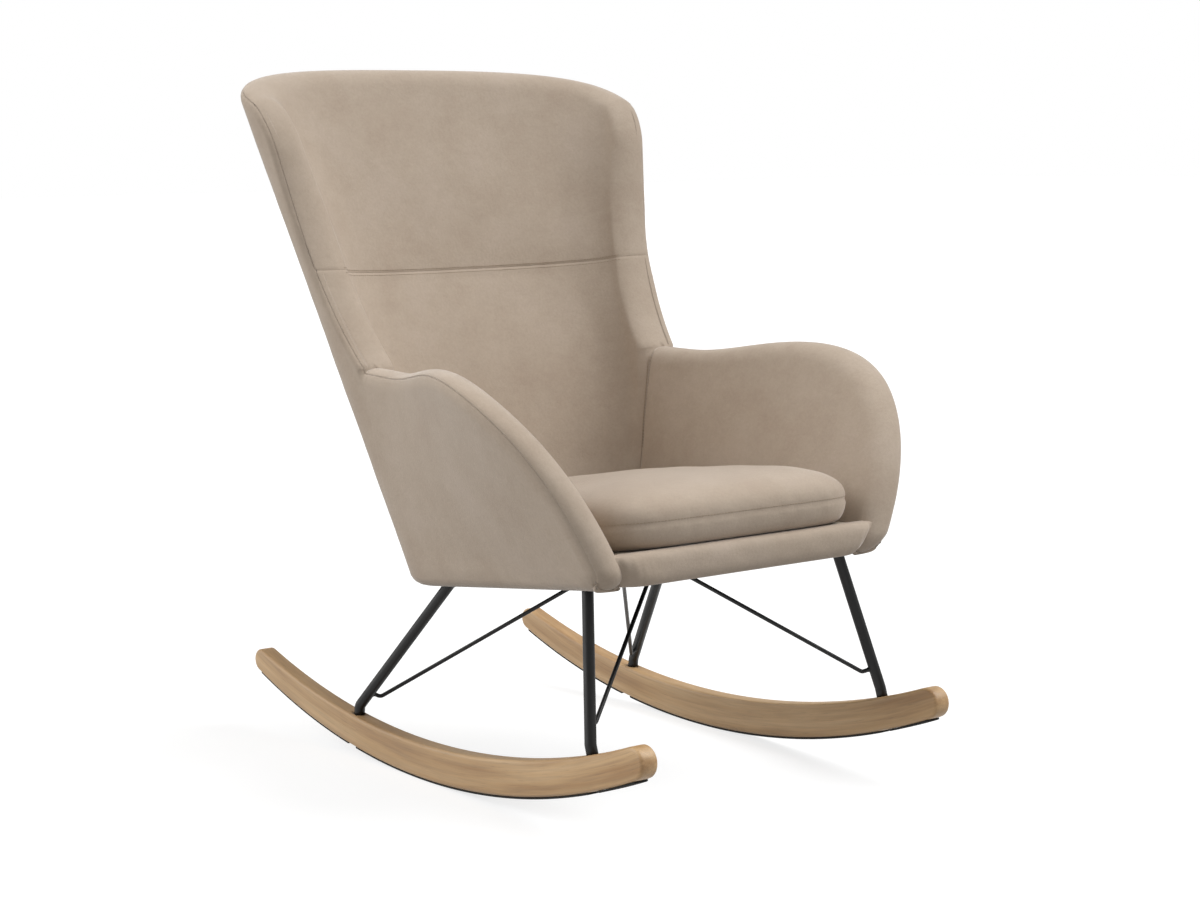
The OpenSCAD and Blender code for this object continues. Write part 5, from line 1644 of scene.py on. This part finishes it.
def run_places(line, pitch):
    """Evenly spaced places along a line of points, with the line's direction at each."""
    line = np.asarray(line, float)
    length = np.concatenate([[0], np.cumsum(np.linalg.norm(np.diff(line, axis=0), axis=1))])
    at = np.arange(pitch / 2, length[-1], pitch)
    p = np.stack([np.interp(at, length, line[:, k]) for k in range(3)], -1)
    q = np.stack([np.interp(at + 0.5, length, line[:, k]) for k in range(3)], -1)
    o = np.stack([np.interp(at - 0.5, length, line[:, k]) for k in range(3)], -1)
    way = (q - o) / np.maximum(np.linalg.norm(q - o, axis=1, keepdims=True), 1e-9)
    return p, way


# The staple's mesh lies along x; turned so that its length is its z axis for the scatter
staple.transform(Matrix.Rotation(math.radians(-90), 4, "Y"))
edge_line = shrunk(dust_ring, 0.975, 6.6)
edge_line = np.concatenate([edge_line, edge_line[:1]])
where, way = run_places(edge_line, 32.0)
metres = stand(where)
turned = (stand(where + way) - metres) / MM
scattered("dust_cloth_staples", staple, list(zip(metres, turned)), ZINC)
print("staples:", len(where))

# %% [markdown]
# ## Front rail
# A padded roll closes the front under the cushion. Its ends are gathered in small pleats and turn
# back to meet the rolled edges of the arms. A bevelled box would leave gaps there, so one section is
# swept across, and near its ends its places are drawn towards the arm.

# %% Front rail
RAIL_STEPS = 96
TURN_BACK = 7.4                # how far the ends lie behind the arms' outline


def front_rail():
    """The roll along the front edge; its ends fill the hollow beside the arms' rolled edges."""
    height, nose, bulge = 46.6, 14.0, 4.0
    around = np.radians(np.linspace(90, -90, 27))
    section = [(RAIL - 1.0, 0.0), (RAIL - 1.0, height)]
    section += [(nose - (nose + bulge) * max(math.cos(a), 0) ** 0.75,
                 height * (0.5 + 0.5 * math.copysign(abs(math.sin(a)) ** 0.75, a))) for a in around]
    u = np.linspace(-1, 1, RAIL_STEPS + 1)
    u = np.sign(u) * (1 - (1 - np.abs(u)) ** 1.35)
    reach, high = np.array(section).T
    y = reach - FRONT
    z = low_z(y) + high
    inside = y > front_y(z)
    half_wall = np.where(inside, rim_half(arm_rim(y, z)), 0.0)
    end = skin(y, z, -np.maximum(half_wall, 16.5) - 0.8)[..., 0]
    front = np.exp(-((reach + 2) / 12) ** 2)
    rings = []
    for across in u:
        from_end = (1 - abs(across)) * end
        # Small pleats fan out from the cushion's corner
        flush = np.exp(-(from_end / 13) ** 1.6)
        near = y + flush * (np.maximum(y, front_y(z) + TURN_BACK) - y)
        pleat = 1.1 * np.exp(-from_end / 20) * np.sin(0.5 * from_end + 0.10 * (height - high) + 0.4) * front
        wave = 0.8 * wander(across * end, high, seed=21, size=80) * front * (1 - flush)
        sunk = 6.0 * np.exp(-(from_end / 22) ** 2) * smooth((high - 18) / 28) * front
        rings.append(np.stack([across * end, near - pleat - wave, z - sunk], -1))
    return ring_stack(rings)


points, faces = front_rail()
rail = make("front_roll", points, faces, VELVET, "front_rail")
sharpened(rail, 60)
print("front rail:", len(rail.data.polygons), "faces")

# %% [markdown]
# ## The loose cushion
# A full cushion whose plan follows the room between the arms. Its side is sewn at a waist seam, from
# which small puckers run, as where a tight cover is sewn. A subdivided and sculpted box would give
# the same roundness. Rings of one profile, scaled to the plan, keep the seam level, and one number
# sets its height.

# %% Cushion
CUSHION_BASE = DECK_TOP + 0.3
CUSHION_HIGH = 96.0
CUSHION_FRONT = -FRONT + 1.0


def cushion_back(y):
    """Reach of the back's padding, level with a place on the cushion."""
    z = low_z(y) + CUSHION_BASE + 15.5
    return float(tub(90.0, z, -HALF)[..., 1])


CUSHION_REAR = cushion_back(cushion_back(-12.0 + 115.0)) - 1.0
CUSHION_MID = (CUSHION_FRONT + CUSHION_REAR) / 2
CUSHION_REACH = (CUSHION_REAR - CUSHION_FRONT) / 2


def room(y):
    """Half the width between the arms."""
    z = low_z(y) + CUSHION_BASE + 15.5
    behind, b = y - hip_y(z), bow(z) - HALF
    curved = (half_width(z) - HALF) * np.clip(1 - np.clip(behind / b, 0, 1) ** PLAN, 0, None) ** (1 / PLAN)
    return np.where(behind <= 0, half_width(z) + flare(y, z) - HALF, curved)


def cushion_edge(a):
    """The plan: a rounded square that gives way to the arms and the back."""
    cy = np.sign(np.cos(a)) * np.abs(np.cos(a)) ** (2 / 6)
    cx = np.sign(np.sin(a)) * np.abs(np.sin(a)) ** (2 / 6)
    y = CUSHION_MID + CUSHION_REACH * cy
    wide = (room(CUSHION_MID) + (room(CUSHION_FRONT) - room(CUSHION_MID)) * np.maximum(0, -cy)
            - 1.0 - 3.0 * (1 - cy * cy))
    x = np.sign(cx) * np.minimum(np.abs(cx) * wide, np.maximum(room(y) - 1.0, 0))
    return np.stack([x, y], -1)


# Share of the plan and share of the height, from the middle of the underside to the crown
PROFILE = np.array([[0.0, 0.0], [0.5, 0.0], [0.8, 0.0], [0.925, 0.002], [0.965, 0.035],
                    [0.987, 0.12], [0.998, 0.24], [1, 0.34], [0.996, 0.44], [0.978, 0.56],
                    [0.938, 0.67], [0.865, 0.775], [0.745, 0.865], [0.57, 0.935], [0.3, 0.985],
                    [0.0, 1.0]])
WAIST = 0.36                   # height of the seam

# %% [markdown]
# ## The body of the cushion
# One profile, from the middle of the underside over the waist to the crown, is scaled to the plan.
# A cloth simulation with pressure would puff it up too, but not to a known height. The puckers are
# sine waves along the seam that fade within a few centimetres.

# %% Rings of the cushion


def curve(points, count):
    """A smooth curve through points, evenly sampled (Catmull-Rom)."""
    p = np.concatenate([[2 * points[0] - points[1]], points, [2 * points[-1] - points[-2]]])
    out = []
    for k in range(1, len(p) - 2):
        for t in np.linspace(0, 1, 24, endpoint=False):
            a, b, c, e = p[k - 1:k + 3]
            out.append(0.5 * (2 * b + (c - a) * t + (2 * a - 5 * b + 4 * c - e) * t ** 2
                              + (3 * b - a - 3 * c + e) * t ** 3))
    out = np.array(out + [p[-2]])
    far = np.concatenate([[0], np.cumsum(np.linalg.norm(np.diff(out * [1.0, 0.55], axis=0), axis=1))])
    at = np.linspace(0, far[-1], count)
    return np.stack([np.interp(at, far, out[:, k]) for k in (0, 1)], -1)


TURNS = 240


def cushion_rings():
    """Rings from the middle of the underside to the crown, with waist and puckers."""
    a = np.linspace(0, 2 * np.pi, 4000)
    line = cushion_edge(a)
    far = np.concatenate([[0], np.cumsum(np.linalg.norm(np.diff(line, axis=0), axis=1))])
    at = np.linspace(0, far[-1], TURNS, endpoint=False)
    edge = np.stack([np.interp(at, far, line[:, k]) for k in (0, 1)], -1)
    for _ in range(6):
        edge = 0.25 * np.roll(edge, 1, 0) + 0.5 * edge + 0.25 * np.roll(edge, -1, 0)
    rings = []
    for share, high in curve(PROFILE, 110):
        gap = (high - WAIST) * CUSHION_HIGH
        pull = 1.0 * math.exp(-(gap / 2.0) ** 2) + 0.7 * math.exp(-(gap / 9) ** 2) if share > 0.8 else 0.0
        wavy = 0.9 * np.sin(at / 7.5 + 1.5 * np.sin(at / 31.0)) + 0.5 * np.sin(at / 4.1)
        fade = math.exp(-abs(gap) / 9) * (1 - math.exp(-(gap / 4) ** 2))
        pucker = wavy * fade if share > 0.8 else 0.0
        toward_middle = (pull - pucker) / 220.0
        s = np.clip(share - toward_middle * share, 0, 1.0)
        x = edge[:, 0] * s
        y = CUSHION_MID + (edge[:, 1] - CUSHION_MID) * s
        soft = 1.3 * wander(x, y, seed=31, size=130) * smooth((high - 0.4) / 0.4) * smooth((1 - share) / 0.2)
        rings.append(np.stack([x, y, low_z(y) + CUSHION_BASE + high * CUSHION_HIGH + soft], -1))
    return rings


rings = cushion_rings()
points, faces = ring_stack(rings[1:-1])
cushion = make("cushion_velvet", points, faces, VELVET, "seat_cushion", body="cushion")
print("cushion:", len(cushion.data.polygons), "faces")

# %% [markdown]
# ## Stitches
# A stitch is a short capsule of thread. Geometry Nodes set one on every place along a seam, with a
# row on each side of the cross seam. Stitches painted in the material would catch no light and
# would be missing from the mesh.

# %% Stitches
STITCH_PITCH, STITCH_LENGTH, STITCH_RADIUS = 5.0, 3.6, 0.3
BESIDE_SEAM = 3.6


def stitch_mesh(length, radius):
    """A capsule along z."""
    ends = np.linspace(0, np.pi, 9)
    rings = []
    for a in ends[1:-1]:
        z = -math.cos(a) * radius * 1.2 + (length / 2 - radius) * np.sign(-math.cos(a))
        r = radius * math.sin(a)
        around = np.linspace(0, 2 * np.pi, 8, endpoint=False)
        rings.append(np.stack([r * np.cos(around), r * np.sin(around), np.full(8, z)], -1))
    points, faces = ring_stack(rings)
    return closed_mesh("stitch", points * MM, faces)


def stitched(name, lines, body="chair"):
    """Stitches along lines of places."""
    places = []
    for line in lines:
        where, way = run_places(line, STITCH_PITCH)
        metres = stand(where)
        places += list(zip(metres, (stand(where + way) - metres) / MM))
    obj = scattered(name, stitch_mesh(STITCH_LENGTH, STITCH_RADIUS), places, THREAD, body=body)
    print(name, len(places), "stitches")
    return obj


def on_back(side, z, low):
    """Places just above the cloth of the inner back."""
    return back(side, z, inner_back(side, z, low) - STITCH_RADIUS)


run = np.linspace(-0.955, 0.955, 160)
stitched("stitches_cross_seam", [on_back(run, seam_z(run) - BESIDE_SEAM, True),
                                 on_back(run, seam_z(run) + BESIDE_SEAM, False)])
heights = np.linspace(430, 572, 60)
lines = []
for sign in SIDES.values():
    lines.append(on_back(np.full(60, sign * (1 - 4.0 / GIRTH)), heights, True))
    arm_line = skin(split_y(heights) - 4.0, heights, inner_arm(split_y(heights) - 4.0, heights) - 0.3)
    arm_line[:, 0] *= sign
    lines.append(arm_line)
stitched("stitches_arm_seams", lines)


def cushion_line(high):
    """A closed line round the cushion at a share of its height."""
    index = min(range(20, len(rings)), key=lambda k: abs(
        float((rings[k][0, 2] - low_z(rings[k][0, 1]) - CUSHION_BASE) / CUSHION_HIGH) - high)
        + (1 if abs(rings[k][0, 0]) + abs(rings[k][0, 1] - CUSHION_MID) < 150 else 0))
    ring = rings[index]
    middle = np.array([0, CUSHION_MID, 0])
    out = (ring - middle) * [1, 1, 0]
    out /= np.linalg.norm(out, axis=1, keepdims=True)
    ring = ring + 0.25 * out
    return np.concatenate([ring, ring[:1]])


stitched("stitches_cushion", [cushion_line(WAIST + 4.0 / CUSHION_HIGH)], body="cushion")

# %% [markdown]
# ## Light and floor
# A studio: a white floor and white surroundings, and two broad lamps from opposite sides. A sky
# picture could light it too, but two lamps can be moved one by one. The white of the background is
# only what the camera sees, so it adds no light to the chair.

# %% Studio
scene = bpy.context.scene
scene.view_settings.view_transform = "Standard"
scene.view_settings.look = "None"
scene.view_settings.exposure = 0.0
scene.view_settings.gamma = 1.0

world = bpy.data.worlds.new("studio")
scene.world = world
world.use_nodes = True
tree = world.node_tree
sky = tree.nodes["Background"]
sky.inputs["Color"].default_value = (1, 1, 1, 1)
sky.inputs["Strength"].default_value = 0.42
plain = tree.nodes.new("ShaderNodeBackground")
plain.inputs["Color"].default_value = (1, 1, 1, 1)
choose = tree.nodes.new("ShaderNodeMixShader")
ray = tree.nodes.new("ShaderNodeLightPath")
tree.links.new(ray.outputs["Is Camera Ray"], choose.inputs[0])
tree.links.new(sky.outputs[0], choose.inputs[1])
tree.links.new(plain.outputs[0], choose.inputs[2])
tree.links.new(choose.outputs[0], tree.nodes["World Output"].inputs[0])

floor_mesh = bpy.data.meshes.new("studio_floor")
floor_mesh.from_pydata([(-40, -40, 0), (40, -40, 0), (40, 40, 0), (-40, 40, 0)], [], [(0, 1, 2, 3)])
floor = bpy.data.objects.new("studio_floor", floor_mesh)
scene.collection.objects.link(floor)
# The eye sees a white floor with a pale shadow; the light that it gives back to the chair is softer
paper = Look("white_paper", roughness=0.9)
paper.set(Base_Color=paper.ramp(paper.noise(3.0), (0.3, grey(0.34)), (0.7, grey(0.36))),
          Specular_IOR_Level=0.0)
rays = paper.node("ShaderNodeLightPath").outputs
seen = paper.math("MAXIMUM", rays["Is Camera Ray"], paper.math("MAXIMUM", rays["Is Glossy Ray"],
                                                             rays["Is Transmission Ray"]))
paper.set(Emission_Color=grey(1.0), Emission_Strength=paper.math("MULTIPLY", seen, 0.74))
floor_mesh.materials.append(paper.material)


def lamp(name, direction, strength, spread):
    """A distant, broad lamp that shines along a direction."""
    light = bpy.data.lights.new(name, "SUN")
    light.energy, light.angle = strength, math.radians(spread)
    obj = bpy.data.objects.new(name, light)
    obj.rotation_euler = Vector(direction).to_track_quat("-Z", "Y").to_euler()
    scene.collection.objects.link(obj)


lamp("ceiling", (-0.5, 0.36, -0.79), 2.55, 45)
lamp("window", (0.74, -0.5, -0.45), 1.9, 60)
print("lamps:", len(bpy.data.lights))

# %% [markdown]
# ## Camera
# It stands where the photographer stood, with the lens that gives the same perspective. A guess by
# eye would come close. Place, direction and lens were worked out instead from the two rockers,
# which are equal and parallel.

# %% Camera
PHOTOGRAPHER = [-2094.2, -2883.5, 962.5]
camera_data = bpy.data.cameras.new("camera")
camera_data.lens, camera_data.sensor_width, camera_data.sensor_fit = 72.52, 36.0, "HORIZONTAL"
camera = bpy.data.objects.new("camera", camera_data)
scene.collection.objects.link(camera)
AZIMUTH, DOWN_ANGLE = 0.6458, math.radians(8.154)
right = Vector((math.cos(AZIMUTH), -math.sin(AZIMUTH), 0))
ahead = Vector((math.sin(AZIMUTH) * math.cos(DOWN_ANGLE), math.cos(AZIMUTH) * math.cos(DOWN_ANGLE),
                -math.sin(DOWN_ANGLE)))
above = right.cross(ahead)
turn = Matrix((right, above, -ahead)).transposed()
lean = Matrix.Rotation(LEAN, 3, "X")
place = Matrix.Translation(Vector(stand([PHOTOGRAPHER])[0]))
camera.matrix_world = place @ (lean @ turn).to_4x4()
scene.camera = camera
print("the camera stands at", [round(x, 2) for x in place.translation])
